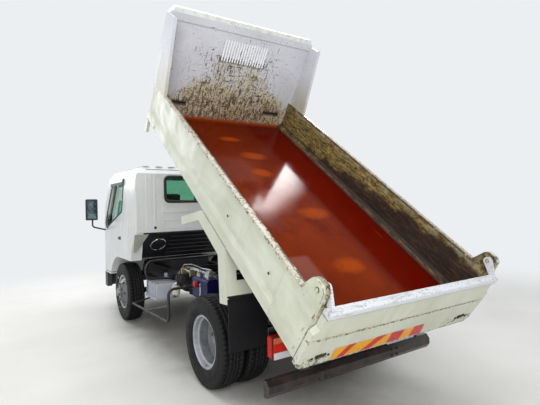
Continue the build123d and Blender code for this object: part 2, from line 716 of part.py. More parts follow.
STAY_X = CAB_REAR - 45
with BuildPart() as cab_stay:
    bent_tube(
        [
            (STAY_X, RAIL_Y + 20, 600), (STAY_X, 700, 620), (STAY_X, 700, 830),
            (STAY_X, -700, 830), (STAY_X, -700, 620), (STAY_X, -RAIL_Y - 20, 600),
        ],
        90, 15,
    )
    mirrored_block((STAY_X - 30, STAY_X + 30), (RAIL_Y, RAIL_Y + 30), (580, 620))
keep(cab_stay.part, "cab_stay")

# Bed floor and the frame under it
with BuildPart() as bed_floor:
    block((BED_REAR, BED_FRONT), (-FLOOR_HALF, FLOOR_HALF), (FLOOR_Z - FLOOR_T, FLOOR_Z))
keep(bed_floor.part, "bed_floor", BED_RAISED)

EYE_OUTER_R = 42
with BuildPart() as bed_frame:
    for side in (-1, 1):
        block(
            (BED_REAR, BED_FRONT - 40), (side * SPRING_Y - 28, side * SPRING_Y + 28),
            (SILL_BOTTOM, CROSS_BOTTOM),
        )
        block(
            (HINGE_X + 80, BED_FRONT - 40), (side * SPRING_Y - 22, side * SPRING_Y + 22),
            (SILL_BOTTOM + 6, CROSS_BOTTOM - 6), Mode.SUBTRACT,
        )
        cross_pin(HINGE_X, HINGE_Z, EYE_OUTER_R, (side * SPRING_Y - 28, side * SPRING_Y + 28))
        cross_pin(
            HINGE_X, HINGE_Z, HINGE_PIN_R + PIN_CLEARANCE, (side * SPRING_Y - 28, side * SPRING_Y + 28),
            Mode.SUBTRACT,
        )
    for x in BED_CROSS_X:
        block(
            (x - BED_CROSS_W / 2, x + BED_CROSS_W / 2), (-INNER_HALF + 2, INNER_HALF - 2),
            (CROSS_BOTTOM, FLOOR_Z - FLOOR_T),
        )
        block(
            (x - BED_CROSS_W / 2 + 6, x + BED_CROSS_W / 2), (-INNER_HALF + 2, INNER_HALF - 2),
            (CROSS_BOTTOM + 6, FLOOR_Z - FLOOR_T - 6), Mode.SUBTRACT,
        )
    block((BED_REAR, BED_REAR + 60), (-INNER_HALF + 2, INNER_HALF - 2), (CROSS_BOTTOM, FLOOR_Z - FLOOR_T))
    block((BED_FRONT - 60, BED_FRONT), (-INNER_HALF + 2, INNER_HALF - 2), (CROSS_BOTTOM, FLOOR_Z - FLOOR_T))
    for side in (-1, 1):
        side_prism(
            [
                (HOIST_CROSS_X[0], CROSS_BOTTOM + 1), (HOIST_EYE_X - 30, HOIST_EYE_Z - 30),
                (HOIST_EYE_X + 30, HOIST_EYE_Z - 30), (HOIST_CROSS_X[1], CROSS_BOTTOM + 1),
                (HOIST_CROSS_X[1], FLOOR_Z - FLOOR_T), (HOIST_CROSS_X[0], FLOOR_Z - FLOOR_T),
            ],
            (side * 37 - 6, side * 37 + 6),
        )
keep(bed_frame.part, "bed_frame", BED_RAISED)

# Bed sides with rear posts and ears
POST_LENGTH = 320
KNOB_X = BED_FRONT - 195
with BuildPart() as bed_side:
    end_prism(
        [
            (INNER_HALF, WALL_TOP), (OUTER_HALF, WALL_TOP), (OUTER_HALF, WALL_TOP - 24),
            (OUTER_HALF - 12, WALL_TOP - 34),
            (OUTER_HALF - 12, FLOOR_Z + 55), (OUTER_HALF, FLOOR_Z + 10), (OUTER_HALF, CROSS_BOTTOM + 10),
            (INNER_HALF, CROSS_BOTTOM + 10),
        ],
        (BED_REAR, BED_FRONT + HEADBOARD_T),
    )
    end_prism(
        [
            (FLOOR_HALF, FLOOR_Z - FLOOR_T), (INNER_HALF, FLOOR_Z - FLOOR_T),
            (INNER_HALF, FLOOR_Z + CORNER_STRIP),
            (FLOOR_HALF, FLOOR_Z),
        ],
        (BED_REAR, BED_FRONT),
    )
    block((BED_REAR, BED_REAR + POST_LENGTH), (INNER_HALF, OUTER_HALF + 4), (FLOOR_Z - 50, WALL_TOP))
    side_prism(
        [
            (BED_REAR + 175, WALL_TOP), (BED_REAR + 125, WALL_TOP + 110), (BED_REAR + 100, WALL_TOP + 126),
            (BED_REAR + 40, WALL_TOP + 126), (BED_REAR + 10, WALL_TOP + 96), (BED_REAR, WALL_TOP),
        ],
        (INNER_HALF + 2, OUTER_HALF + 4),
    )
    cross_pin(GATE_PIN_X, GATE_PIN_Z, GATE_PIN_R, (INNER_HALF - 30, OUTER_HALF + 10))
    side_prism(
        [
            (BED_FRONT, 875), (BED_FRONT, 740), (BED_FRONT + HEADBOARD_T, 740),
            (BED_FRONT + HEADBOARD_T, 875),
        ],
        (INNER_HALF + 20, OUTER_HALF + 4),
    )
    cross_pin(KNOB_X, CROSS_BOTTOM + 24, 12, (OUTER_HALF, OUTER_HALF + 8))
keep_pair(bed_side.part, "bed_side", BED_RAISED)

# Headboard with a slotted window, a folded top rail and two wings
SLOT_COUNT = 17
SLOT_PITCH = 31
SLOT_W = 15
SLOT_Y = -40
SLOT_Z = (1620, 1840)
LOW_SLOT_Y = (490, 700)
LOW_SLOT_Z = (1100, 1120)
BOARD_T = 6
BOARD_RIB_HALF = 30
WING_T = 30
WING_REACH = 303
TOP_RAIL_H = 42
TOP_RAIL_PROUD = 14
HEADBOARD_HALF = OUTER_HALF + 4
WING_TOP = HEADBOARD_TOP - 70
board_back = (BED_FRONT + BOARD_T, BED_FRONT + HEADBOARD_T)
slots_half = SLOT_COUNT * SLOT_PITCH / 2
with BuildPart() as headboard:
    end_prism(
        mirror_points([
            (INNER_HALF - 0.2, CROSS_BOTTOM), (INNER_HALF - 0.2, WALL_TOP + 0.2),
            (HEADBOARD_HALF, WALL_TOP + 0.2),
            (HEADBOARD_HALF, WING_TOP), (OUTER_HALF - 56, HEADBOARD_TOP),
        ]),
        (BED_FRONT, BED_FRONT + HEADBOARD_T),
    )
    mirrored_block(
        board_back, (BOARD_RIB_HALF, INNER_HALF - 60), (CROSS_BOTTOM + 40, WALL_TOP - 20), Mode.SUBTRACT,
    )
    mirrored_block(
        board_back, (BOARD_RIB_HALF, INNER_HALF - 40), (WALL_TOP + 30, SLOT_Z[0] - 40), Mode.SUBTRACT,
    )
    block(
        board_back, (-INNER_HALF + 40, INNER_HALF - 40), (SLOT_Z[0] - 15, HEADBOARD_TOP - 60),
        Mode.SUBTRACT,
    )
    end_prism(
        mirror_points([
            (HEADBOARD_HALF, WING_TOP - TOP_RAIL_H), (HEADBOARD_HALF, WING_TOP),
            (OUTER_HALF - 56, HEADBOARD_TOP),
            (0, HEADBOARD_TOP), (0, HEADBOARD_TOP - TOP_RAIL_H),
            (OUTER_HALF - 72, HEADBOARD_TOP - TOP_RAIL_H),
        ]),
        (BED_FRONT - TOP_RAIL_PROUD, BED_FRONT + BOARD_T),
    )
    for number in range(SLOT_COUNT):
        y = SLOT_Y - slots_half + (number + 0.5) * SLOT_PITCH
        block(
            (BED_FRONT - 1, BED_FRONT + HEADBOARD_T + 1), (y - SLOT_W / 2, y + SLOT_W / 2), SLOT_Z,
            Mode.SUBTRACT,
        )
    mirrored_block((BED_FRONT - 1, BED_FRONT + HEADBOARD_T + 1), LOW_SLOT_Y, LOW_SLOT_Z, Mode.SUBTRACT)
    for side in (-1, 1):
        y_span = sorted((side * (HEADBOARD_HALF - WING_T), side * HEADBOARD_HALF))
        side_prism(
            [
                (BED_FRONT, WALL_TOP + 0.2), (BED_FRONT - WING_REACH, WALL_TOP + 0.2),
                (BED_FRONT - 170, WING_TOP + 10),
                (BED_FRONT - 150, WING_TOP), (BED_FRONT, WING_TOP),
            ],
            y_span,
        )
keep(headboard.part, "headboard", BED_RAISED)

# Mudguards hung from the bed over the rear wheels, with a deep lip and rubber flaps hung on rods
GUARD_T = 5
GUARD_HALF = OUTER_HALF + 2
GUARD_INNER_Y = 410
GUARD_TOP = CROSS_BOTTOM - 5
GUARD_LINE = [(475, 568), (170, GUARD_TOP), (-292, GUARD_TOP), (-513, 590)]
GUARD_HOLE = ((-445, -395), (675, 760), (620, 760))
LIP_END = (-551, 544)
LIP_EDGE = [(-465, 475), (-241, 753), (174, 759), (427, 517)]
FLAP_PIN_X = -524
FLAP_PIN_Z = 577
FLAP_ROD_R = 5
FLAP_Y = (500, 838)
FLAP_LENGTH = 394
FLAP_T = 6
FLAP_SLEEVE_R = 11
CHEEK = [(-14, -2), (1, -14), (33, 25), (22, 33)]
with BuildPart() as mudguards:
    with BuildSketch(Plane.XZ.offset(-GUARD_INNER_Y)) as plate:
        with BuildLine() as edge:
            Polyline(*GUARD_LINE)
            offset(edge.line, amount=GUARD_T, side=Side.LEFT)
        make_face()
    extrude(plate.sketch, amount=GUARD_INNER_Y - GUARD_HALF)
    block(*GUARD_HOLE, Mode.SUBTRACT)
    side_prism([*GUARD_LINE[:-1], LIP_END, *LIP_EDGE], (GUARD_HALF - GUARD_T, GUARD_HALF))
    for x in (130, -180):
        block((x - 30, x + 30), (INNER_HALF + 5, INNER_HALF + 11), (GUARD_TOP - GUARD_T, CROSS_BOTTOM + 10))
    side_prism([(FLAP_PIN_X + x, FLAP_PIN_Z + z) for x, z in CHEEK], (FLAP_Y[0] - 12, FLAP_Y[0] - 6))
    cross_pin(FLAP_PIN_X, FLAP_PIN_Z, FLAP_ROD_R, (FLAP_Y[0] - 12, GUARD_HALF - GUARD_T))
    mirror(about=Plane.XZ)
keep(mudguards.part, "mudguards", BED_RAISED)

flap_x, flap_z = raised(FLAP_PIN_X, FLAP_PIN_Z)
with BuildPart() as mud_flaps:
    block(
        (flap_x - FLAP_T / 2, flap_x + FLAP_T / 2), FLAP_Y, (flap_z - FLAP_LENGTH, flap_z - FLAP_ROD_R - 2),
    )
    cross_pin(flap_x, flap_z, FLAP_SLEEVE_R, FLAP_Y)
    cross_pin(flap_x, flap_z, FLAP_ROD_R + PIN_CLEARANCE, FLAP_Y, Mode.SUBTRACT)
    mirror(about=Plane.XZ)
keep(mud_flaps.part, "mud_flaps")

# Tailgate hung at its top corners
GATE_REAR = BED_REAR - GATE_GAP - GATE_T
GATE_FRONT = BED_REAR - GATE_GAP
ARM_Y = (INNER_HALF - 26, INNER_HALF - 6)
CREASE_Z = 1052
LATCH_Y = (650, 735)
LATCH_Z = (876, 918)
with BuildPart() as tailgate:
    end_prism(
        mirror_points([
            (OUTER_HALF - 40, GATE_BOTTOM), (OUTER_HALF, GATE_BOTTOM + 30), (OUTER_HALF, GATE_STEP_Z - 30),
            (INNER_HALF + 12, GATE_STEP_Z), (INNER_HALF + 12, WALL_TOP),
        ]),
        (GATE_REAR, GATE_FRONT),
    )
    block(
        (GATE_REAR - 1, GATE_REAR + 5), (-INNER_HALF + 60, INNER_HALF - 60), (CREASE_Z, CREASE_Z + 12),
        Mode.SUBTRACT,
    )
    side_prism(
        [
            (GATE_REAR - 14, WALL_TOP - 38), (GATE_FRONT, WALL_TOP - 38), (GATE_FRONT, WALL_TOP + 10),
            (GATE_REAR - 14, WALL_TOP + 10),
        ],
        (-INNER_HALF - 12, INNER_HALF + 12), radius=10,
    )
    mirrored_block((GATE_REAR - 1, GATE_REAR + 25), LATCH_Y, LATCH_Z, Mode.SUBTRACT)
    for side in (-1, 1):
        y_span = sorted((side * ARM_Y[0], side * ARM_Y[1]))
        side_prism(
            [
                (GATE_FRONT, WALL_TOP - 40), (GATE_REAR + 5, WALL_TOP - 40), (GATE_REAR + 5, WALL_TOP + 20),
                (GATE_PIN_X - 22, GATE_PIN_Z + 22), (GATE_PIN_X + 22, GATE_PIN_Z + 8),
                (GATE_PIN_X + 16, GATE_PIN_Z - 22),
                (GATE_FRONT, WALL_TOP + 4),
            ],
            y_span,
        )
        cross_pin(GATE_PIN_X, GATE_PIN_Z, 30, y_span)
        cross_pin(GATE_PIN_X, GATE_PIN_Z, GATE_PIN_R + PIN_CLEARANCE, y_span, Mode.SUBTRACT)
keep(tailgate.part, "tailgate", BED_RAISED)

# Hoist cylinder, drawn along its own axis from the chassis pivot to the eye in the raised pose
raised_eye = raised(HOIST_EYE_X, HOIST_EYE_Z)
hoist_run = (raised_eye[0] - HOIST_X, raised_eye[1] - HOIST_Z)
hoist_length = hypot(*hoist_run)
ALONG_HOIST = Plane(
    origin=(HOIST_X, 0, HOIST_Z), x_dir=(0, 1, 0), z_dir=(hoist_run[0], 0, hoist_run[1]),
).location
with BuildPart() as hoist_barrel:
    with Locations((0, 0, BARREL_LENGTH / 2 + 20)):
        Cylinder(BARREL_R, BARREL_LENGTH - 40)
    with Locations((0, 0, BARREL_LENGTH - 20)):
        Cylinder(BARREL_R + 6, 40)
    with Locations(Location((0, 0, 0), (0, 90, 0))):
        Cylinder(30, 50)
    with Locations((0, 0, 25)):
        Box(46, 44, 50)
    with Locations(Location((0, 0, 0), (0, 90, 0))):
        Cylinder(15 + PIN_CLEARANCE, 60, mode=Mode.SUBTRACT)
    with Locations((0, 0, BARREL_LENGTH / 2 + 60)):
        Cylinder(ROD_R + PIN_CLEARANCE, BARREL_LENGTH - 80, mode=Mode.SUBTRACT)
keep(hoist_barrel.part, "hoist_barrel", ALONG_HOIST)

with BuildPart() as hoist_rod:
    with Locations((0, 0, hoist_length - 25 - ROD_LENGTH / 2)):
        Cylinder(ROD_R, ROD_LENGTH)
    with Locations(Location((0, 0, hoist_length), (0, 90, 0))):
        Cylinder(34, 50)
        Cylinder(16, 52, mode=Mode.SUBTRACT)
keep(hoist_rod.part, "hoist_rod", ALONG_HOIST)

# Cab outlines: from the side, from the end and from above
ROOF_FRONT = WHEELBASE + 480
PILLAR_FOOT = (CAB_FRONT - 110, 1190)
PILLAR_TOP = (ROOF_FRONT + 80, CAB_TOP - 40)
NOSE_X = CAB_FRONT - 300
BEYOND = 65
CAB_CUT_Y = (-CAB_HALF - BEYOND, CAB_HALF + BEYOND)
CAB_CUT_Z = CAB_FLOOR_Z - 160
FLOOR_T_CAB = 40
INNER_FRONT = CAB_FRONT - 45
CAB_SIDE = [
    (CAB_REAR + 95, CAB_SIDE_BOTTOM), (CAB_REAR, REAR_PANEL_BOTTOM), (CAB_REAR, CAB_TOP - 90),
    (CAB_REAR + 70, CAB_TOP),
    (ROOF_FRONT, CAB_TOP), PILLAR_TOP, PILLAR_FOOT, (CAB_FRONT - 40, 1090), (CAB_FRONT, 880),
    (CAB_FRONT, CAB_FLOOR_Z), (WHEELBASE, CAB_FLOOR_Z), (WHEELBASE, CAB_SIDE_BOTTOM),
]
CAB_END = mirror_points([
    (CAB_HALF, CAB_CUT_Z), (CAB_HALF, BELT_Z), (CAB_HALF - 48, CAB_TOP - 110),
    (CAB_HALF - 110, CAB_TOP - 20),
    (CAB_HALF - 180, CAB_TOP + 4),
])
CAB_PLAN = mirror_points([
    (CAB_FRONT, CAB_HALF - 220), (CAB_FRONT - 60, CAB_HALF - 90), (NOSE_X, CAB_HALF),
    (CAB_REAR + 50, CAB_HALF),
    (CAB_REAR, CAB_HALF - 50),
], across=True)
INNER_SIDE = [
    (CAB_REAR + CAB_WALL, REAR_PANEL_BOTTOM + 10), (CAB_REAR + CAB_WALL, CAB_TOP - CAB_WALL),
    (ROOF_FRONT - 10, CAB_TOP - CAB_WALL), (PILLAR_FOOT[0] - 45, 1180), (CAB_FRONT - 80, 1080),
    (INNER_FRONT, 880),
    (INNER_FRONT, CAB_FLOOR_Z + FLOOR_T_CAB), (WHEELBASE + 460, CAB_FLOOR_Z + FLOOR_T_CAB),
    (WHEELBASE + 460, CAB_SIDE_BOTTOM + FLOOR_T_CAB), (PAN_FOOT_X + 30, CAB_SIDE_BOTTOM + FLOOR_T_CAB),
]
INNER_END = mirror_points([
    (CAB_HALF - CAB_SIDE_WALL, CAB_CUT_Z), (CAB_HALF - CAB_SIDE_WALL, BELT_Z),
    (CAB_HALF - CAB_SIDE_WALL - 36, CAB_TOP - 110), (CAB_HALF - 190, CAB_TOP - CAB_WALL),
])
INNER_PLAN = mirror_points([
    (INNER_FRONT, CAB_HALF - 250), (CAB_FRONT - 100, CAB_HALF - 130),
    (NOSE_X - 20, CAB_HALF - CAB_SIDE_WALL),
    (CAB_REAR + CAB_WALL, CAB_HALF - 75),
], across=True)

PAN_TOP = (CAB_REAR - 5, REAR_PANEL_BOTTOM)
PAN_FOOT = (PAN_FOOT_X, CAB_SIDE_BOTTOM + 20)
PAN_SLOPE = (PAN_TOP[1] - PAN_FOOT[1]) / (PAN_FOOT[0] - PAN_TOP[0])
PAN_HALF = CAB_HALF - 130
RIDGE_H = 10
RIDGE_HALF = 28


def cab_form(side_line, end_line, plan_line):
    """A solid that shows the three outlines."""
    side_prism(side_line, CAB_CUT_Y)
    end_prism(end_line, (CAB_REAR - 50, CAB_FRONT + 50), Mode.INTERSECT)
    top_prism(plan_line, (CAB_CUT_Z, CAB_TOP + 50), Mode.INTERSECT)


with BuildPart() as cab_hollow:
    cab_form(INNER_SIDE, INNER_END, INNER_PLAN)
    block(
        (WHEELBASE + 370, CAB_FRONT), (-TUNNEL_HALF - FLOOR_T_CAB, TUNNEL_HALF + FLOOR_T_CAB),
        (CAB_CUT_Z, TUNNEL_TOP + FLOOR_T_CAB), Mode.SUBTRACT,
    )

with BuildPart() as cab_outside:
    cab_form(CAB_SIDE, CAB_END, CAB_PLAN)

with BuildPart() as cab_body:
    add(cab_outside.part)
    cross_pin(WHEELBASE, TYRE_R, ARCH_R, CAB_CUT_Y, Mode.SUBTRACT)
    add(cab_hollow.part, mode=Mode.SUBTRACT)
    side_prism(
        [PAN_TOP, (PAN_TOP[0], CAB_SIDE_BOTTOM - 130), (PAN_FOOT[0], CAB_SIDE_BOTTOM - 130), PAN_FOOT],
        (-PAN_HALF, PAN_HALF), Mode.SUBTRACT,
    )
    block(
        (WHEELBASE - 50, WHEELBASE + 430), (-TUNNEL_HALF, TUNNEL_HALF), (CAB_CUT_Z, CAB_SIDE_BOTTOM),
        Mode.SUBTRACT,
    )
    block(
        (WHEELBASE - 50, CAB_FRONT - FRONT_PANEL_T), (-TUNNEL_HALF, TUNNEL_HALF), (CAB_CUT_Z, TUNNEL_TOP),
        Mode.SUBTRACT,
    )
    for side in (-1, 1):
        y_span = (side * 317 - 15, side * 317 + 15)
        block((CAB_HINGE_X - 26, CAB_HINGE_X + 14), y_span, (CAB_HINGE_Z, TUNNEL_TOP + 2))
        cross_pin(CAB_HINGE_X, CAB_HINGE_Z, 26, y_span)
        cross_pin(CAB_HINGE_X, CAB_HINGE_Z, CAB_PIN_R + PIN_CLEARANCE, y_span, Mode.SUBTRACT)

DOOR_TOP = CAB_TOP - 85
DOOR_STEP_Z = 1153
DOOR_INNER_Y = CAB_HALF - 135
DOOR_LINE = [
    (DOOR_REAR, CAB_SIDE_BOTTOM - 300), (DOOR_REAR, DOOR_TOP), (ROOF_FRONT - 20, DOOR_TOP),
    (DOOR_FRONT - 35, 1241),
    (DOOR_FRONT - 35, DOOR_STEP_Z), (DOOR_FRONT, DOOR_STEP_Z), (DOOR_FRONT, CAB_FLOOR_Z + 20),
    (WHEELBASE, CAB_FLOOR_Z + 20),
]
DOOR_PIVOT = (DOOR_FRONT - 13, CAB_HALF - 27)
DOOR_HINGE_Z = (760, 1060)
DOOR_PIN_R = 5
DOOR_PIN_HALF = 35
LEAF_HALF = 12
LEAF_REACH = 21
GLASS_LINE = [
    (DOOR_REAR + 85, 1425), (DOOR_REAR + 85, CAB_TOP - 135), (ROOF_FRONT - 75, CAB_TOP - 135),
    (DOOR_FRONT - 120, 1260),
    (DOOR_FRONT - 200, 1190),
]
GLASS_CORNER = 30
DOOR_CUT_Y = (DOOR_INNER_Y, CAB_HALF + BEYOND)
HANDLE_X = (DOOR_REAR + 110, DOOR_REAR + 205)
HANDLE_Z = (1058, 1104)


def shrunk(outline, amount):
    """The same outline drawn in by an amount on all sides."""
    with BuildSketch(Plane.XZ) as smaller:
        Polygon(*outline, align=None)
        offset(amount=-amount)
    return smaller.sketch


def side_piece(sketch, y_span, mode):
    """A prism from a side sketch between two Y values."""
    extrude(Pos(0, y_span[0], 0) * sketch, amount=y_span[0] - y_span[1], mode=mode)


def upright_pin(side, z, radius, half_length, mode=Mode.ADD):
    """A cylinder on the left (+1) or right (-1) door's hinge line, about a height."""
    with Locations((DOOR_PIVOT[0], side * DOOR_PIVOT[1], z)):
        Cylinder(radius, 2 * half_length, mode=mode)


LAMP_SPAN_X = (CAB_FRONT - 110, CAB_FRONT + 20)
LAMP_SPAN_Y = (470, 690)
LAMP_SPAN_Z = (620, 780)
LAMP_PROUD = 5
TURN_LAMP_X = (DOOR_FRONT + 8, DOOR_FRONT + 66)
TURN_LAMP_Z = (CAB_FLOOR_Z + 8, CAB_FLOOR_Z + 70)
WINDSCREEN = mirror_points([(CAB_HALF - 145, 1235), (CAB_HALF - 195, CAB_TOP - 90)])
REAR_GLASS = mirror_points([(424, 1540), (424, 1840)])
GRILLE_SLOTS = 4
GRILLE_PITCH = 34
GRILLE_HALF = 420
GRILLE_Z = 768
PRESS_DEPTH = 5
PRESS_Y = (475, 600)


def inset_glass(outline):
    """A four-cornered opening drawn in by the gap round its glass."""
    low = min(z for y, z in outline)
    return [
        (y - GLASS_GAP if y > 0 else y + GLASS_GAP, z + GLASS_GAP if z == low else z - GLASS_GAP)
        for y, z in outline
    ]


with BuildPart() as cab_shell:
    add(cab_body.part)
    for side in (-1, 1):
        y_span = sorted((side * DOOR_CUT_Y[0], side * DOOR_CUT_Y[1]))
        side_prism(DOOR_LINE, y_span, Mode.SUBTRACT)
    end_prism(WINDSCREEN, (ROOF_FRONT - 60, CAB_FRONT), Mode.SUBTRACT, 40)
    end_prism(REAR_GLASS, (CAB_REAR - 10, CAB_REAR + 100), Mode.SUBTRACT, 60)
    mirrored_block(
        LAMP_SPAN_X, (LAMP_SPAN_Y[0] - GLASS_GAP, LAMP_SPAN_Y[1] + GLASS_GAP),
        (LAMP_SPAN_Z[0] - GLASS_GAP, LAMP_SPAN_Z[1] + GLASS_GAP), Mode.SUBTRACT,
    )
    for number in range(GRILLE_SLOTS):
        low = GRILLE_Z + number * GRILLE_PITCH
        block((CAB_FRONT - 14, CAB_FRONT + 5), (-GRILLE_HALF, GRILLE_HALF), (low, low + 20), Mode.SUBTRACT)
    mirrored_block((CAB_REAR - 1, CAB_REAR + PRESS_DEPTH), PRESS_Y, (1300, CAB_TOP - 120), Mode.SUBTRACT)
    block((CAB_REAR - 1, CAB_REAR + PRESS_DEPTH), (-400, 400), (1300, 1480), Mode.SUBTRACT)
    for number in range(-2, 3):
        y = number * 240
        end_prism(
            [
                (y - RIDGE_HALF, CAB_TOP - CAB_WALL + 5), (y + RIDGE_HALF, CAB_TOP - CAB_WALL + 5),
                (y + RIDGE_HALF - 8, CAB_TOP + RIDGE_H), (y - RIDGE_HALF + 8, CAB_TOP + RIDGE_H),
            ],
            (CAB_REAR + 110, ROOF_FRONT - 30),
        )
    for side in (-1, 1):
        leaf_y = sorted((side * (DOOR_PIVOT[1] - 10), side * DOOR_PIVOT[1]))
        for z in DOOR_HINGE_Z:
            block((DOOR_PIVOT[0], DOOR_PIVOT[0] + LEAF_REACH), leaf_y, (z - LEAF_HALF, z + LEAF_HALF))
            upright_pin(side, z, DOOR_PIN_R, DOOR_PIN_HALF)
keep(cab_shell.part, "cab_shell")

with BuildPart() as door:
    add(cab_body.part)
    side_piece(shrunk(DOOR_LINE, DOOR_GAP), DOOR_CUT_Y, Mode.INTERSECT)
    side_prism(GLASS_LINE, DOOR_CUT_Y, Mode.SUBTRACT, GLASS_CORNER)
    block(HANDLE_X, (CAB_HALF - 18, CAB_HALF + 5), HANDLE_Z, Mode.SUBTRACT)
    for z in DOOR_HINGE_Z:
        upright_pin(1, z, DOOR_PIN_R + PIN_CLEARANCE, DOOR_PIN_HALF + 1, Mode.SUBTRACT)
        upright_pin(1, z, LEAF_REACH + 3, LEAF_HALF + 5, Mode.SUBTRACT)
keep_pair(door.part, "door")

with BuildPart() as door_glass:
    side_prism(GLASS_LINE, DOOR_CUT_Y, radius=GLASS_CORNER)
    side_piece(shrunk(GLASS_LINE, GLASS_GAP), DOOR_CUT_Y, Mode.INTERSECT)
    end_prism(
        [
            (CAB_HALF - 30, 1100), (CAB_HALF - 30, BELT_Z), (CAB_HALF - 78, CAB_TOP - 110),
            (CAB_HALF - 78 - GLASS_T, CAB_TOP - 110), (CAB_HALF - 30 - GLASS_T, BELT_Z),
            (CAB_HALF - 30 - GLASS_T, 1100),
        ],
        (DOOR_REAR, DOOR_FRONT), Mode.INTERSECT,
    )
keep_pair(door_glass.part, "door_glass")

with BuildPart() as windscreen:
    end_prism(inset_glass(WINDSCREEN), (ROOF_FRONT - 60, CAB_FRONT), radius=40)
    side_prism(
        [
            (PILLAR_TOP[0] - 12, PILLAR_TOP[1]), (PILLAR_FOOT[0] - 12, PILLAR_FOOT[1]),
            (PILLAR_FOOT[0] - 18, PILLAR_FOOT[1]), (PILLAR_TOP[0] - 18, PILLAR_TOP[1]),
        ],
        (-CAB_HALF, CAB_HALF), Mode.INTERSECT,
    )
keep(windscreen.part, "windscreen")

with BuildPart() as rear_glass:
    end_prism(inset_glass(REAR_GLASS), (CAB_REAR + 8, CAB_REAR + 8 + GLASS_T), radius=60)
keep(rear_glass.part, "rear_glass")

# Ribbed black panel under the rear of the cab, with a round cap
PAN_T = 18
PAN_RIBS = 5
PAN_RIB_T = 9
CAP_PLATE_R = 100
CAP_Y = 490
CAP_SHARE = 0.42
pan_start = (CAB_REAR + 4, PAN_TOP[1] - PAN_SLOPE * (CAB_REAR + 4 - PAN_TOP[0]))
pan_run = (PAN_FOOT[0] - pan_start[0], PAN_FOOT[1] - pan_start[1])
pan_length = hypot(*pan_run)
pan_out = (pan_run[1] / pan_length, -pan_run[0] / pan_length)


def pan_point(share, depth):
    """A point at a share of the panel's slope and a depth behind its lower face, as X and Z."""
    return (
        pan_start[0] + share * pan_run[0] + depth * pan_out[0],
        pan_start[1] - PAN_T + share * pan_run[1] + depth * pan_out[1],
    )


with BuildPart() as cab_floor_panel:
    side_prism(
        [pan_start, PAN_FOOT, (PAN_FOOT[0], PAN_FOOT[1] - PAN_T), (pan_start[0], pan_start[1] - PAN_T)],
        (-PAN_HALF, PAN_HALF),
    )
    for number in range(PAN_RIBS):
        share = 0.12 + number * 0.17
        side_prism(
            [
                pan_point(share, -2), pan_point(share + 0.02, PAN_RIB_T),
                pan_point(share + 0.06, PAN_RIB_T),
                pan_point(share + 0.08, -2),
            ],
            (-PAN_HALF + 60, CAP_Y - CAP_PLATE_R - 40),
        )
    cap_x, cap_z = pan_point(CAP_SHARE, 0)
    cap_face = Plane(origin=(cap_x, CAP_Y, cap_z), x_dir=(0, 1, 0), z_dir=(pan_out[0], 0, pan_out[1]))
    with BuildSketch(cap_face) as cap_edge:
        Circle(CAP_PLATE_R)
    extrude(cap_edge.sketch, amount=12)
    with BuildSketch(cap_face.offset(12)) as cap_middle:
        Circle(CAP_PLATE_R - 22)
    extrude(cap_middle.sketch, amount=14)
keep(cab_floor_panel.part, "cab_floor_panel")

# Cab fittings
BUMPER_BACK = CAB_FRONT - 140
with BuildPart() as front_bumper:
    top_prism(
        [
            (CAB_FRONT - 260, -800), (CAB_FRONT - 90, -790), (CAB_FRONT + 25, -620), (CAB_FRONT + 35, 0),
            (CAB_FRONT + 25, 620), (CAB_FRONT - 90, 790), (CAB_FRONT - 260, 800), (CAB_FRONT - 260, 740),
            (BUMPER_BACK, 700), (BUMPER_BACK + 20, 0), (BUMPER_BACK, -700), (CAB_FRONT - 260, -740),
        ],
        (330, CAB_FLOOR_Z - 20),
    )
    block((CAB_FRONT, CAB_FRONT + 60), (-330, 330), (415, 480), Mode.SUBTRACT)
    mirrored_block((CAB_FRONT - 30, CAB_FRONT + 60), (480, 580), (400, 470), Mode.SUBTRACT)
    mirrored_block(
        (RAIL_FRONT - 60, BUMPER_BACK + 20), (RAIL_Y - RAIL_W, RAIL_Y), (RAIL_BOTTOM - 60, RAIL_BOTTOM - 5),
    )
    mirrored_block(
        (RAIL_FRONT - 60, RAIL_FRONT), (RAIL_Y - RAIL_W, RAIL_Y), (RAIL_BOTTOM - 60, RAIL_BOTTOM),
    )
keep(front_bumper.part, "front_bumper")

with BuildPart() as headlamps:
    block(LAMP_SPAN_X, LAMP_SPAN_Y, LAMP_SPAN_Z)
    add(Pos(LAMP_PROUD, 0, 0) * cab_outside.part, mode=Mode.INTERSECT)
    mirror(about=Plane.XZ)
keep(headlamps.part, "headlamps")

with BuildPart() as turn_lamps:
    block(TURN_LAMP_X, (CAB_HALF - 135, CAB_HALF + 20), TURN_LAMP_Z)
    add(Pos(4, 6, 0) * cab_outside.part, mode=Mode.INTERSECT)
    add(cab_outside.part, mode=Mode.SUBTRACT)
    mirror(about=Plane.XZ)
keep(turn_lamps.part, "turn_lamps")

DASH_DOOR_Y = CAB_HALF - 140
DASH_X = CAB_FRONT - 380
with BuildPart() as dashboard:
    side_prism(
        [
            (DASH_X, 1120), (DASH_X + 40, 1200), (DASH_X + 200, 1170), (DASH_X + 260, 1090),
            (DASH_X + 260, 900),
            (DASH_X + 120, 880),
        ],
        (-CAB_HALF, CAB_HALF), radius=20,
    )
    mirrored_block((DASH_X - 80, DOOR_FRONT + 15), (DASH_DOOR_Y, CAB_HALF + 10), (800, 1300), Mode.SUBTRACT)
    add(cab_hollow.part, mode=Mode.INTERSECT)
keep(dashboard.part, "dashboard")

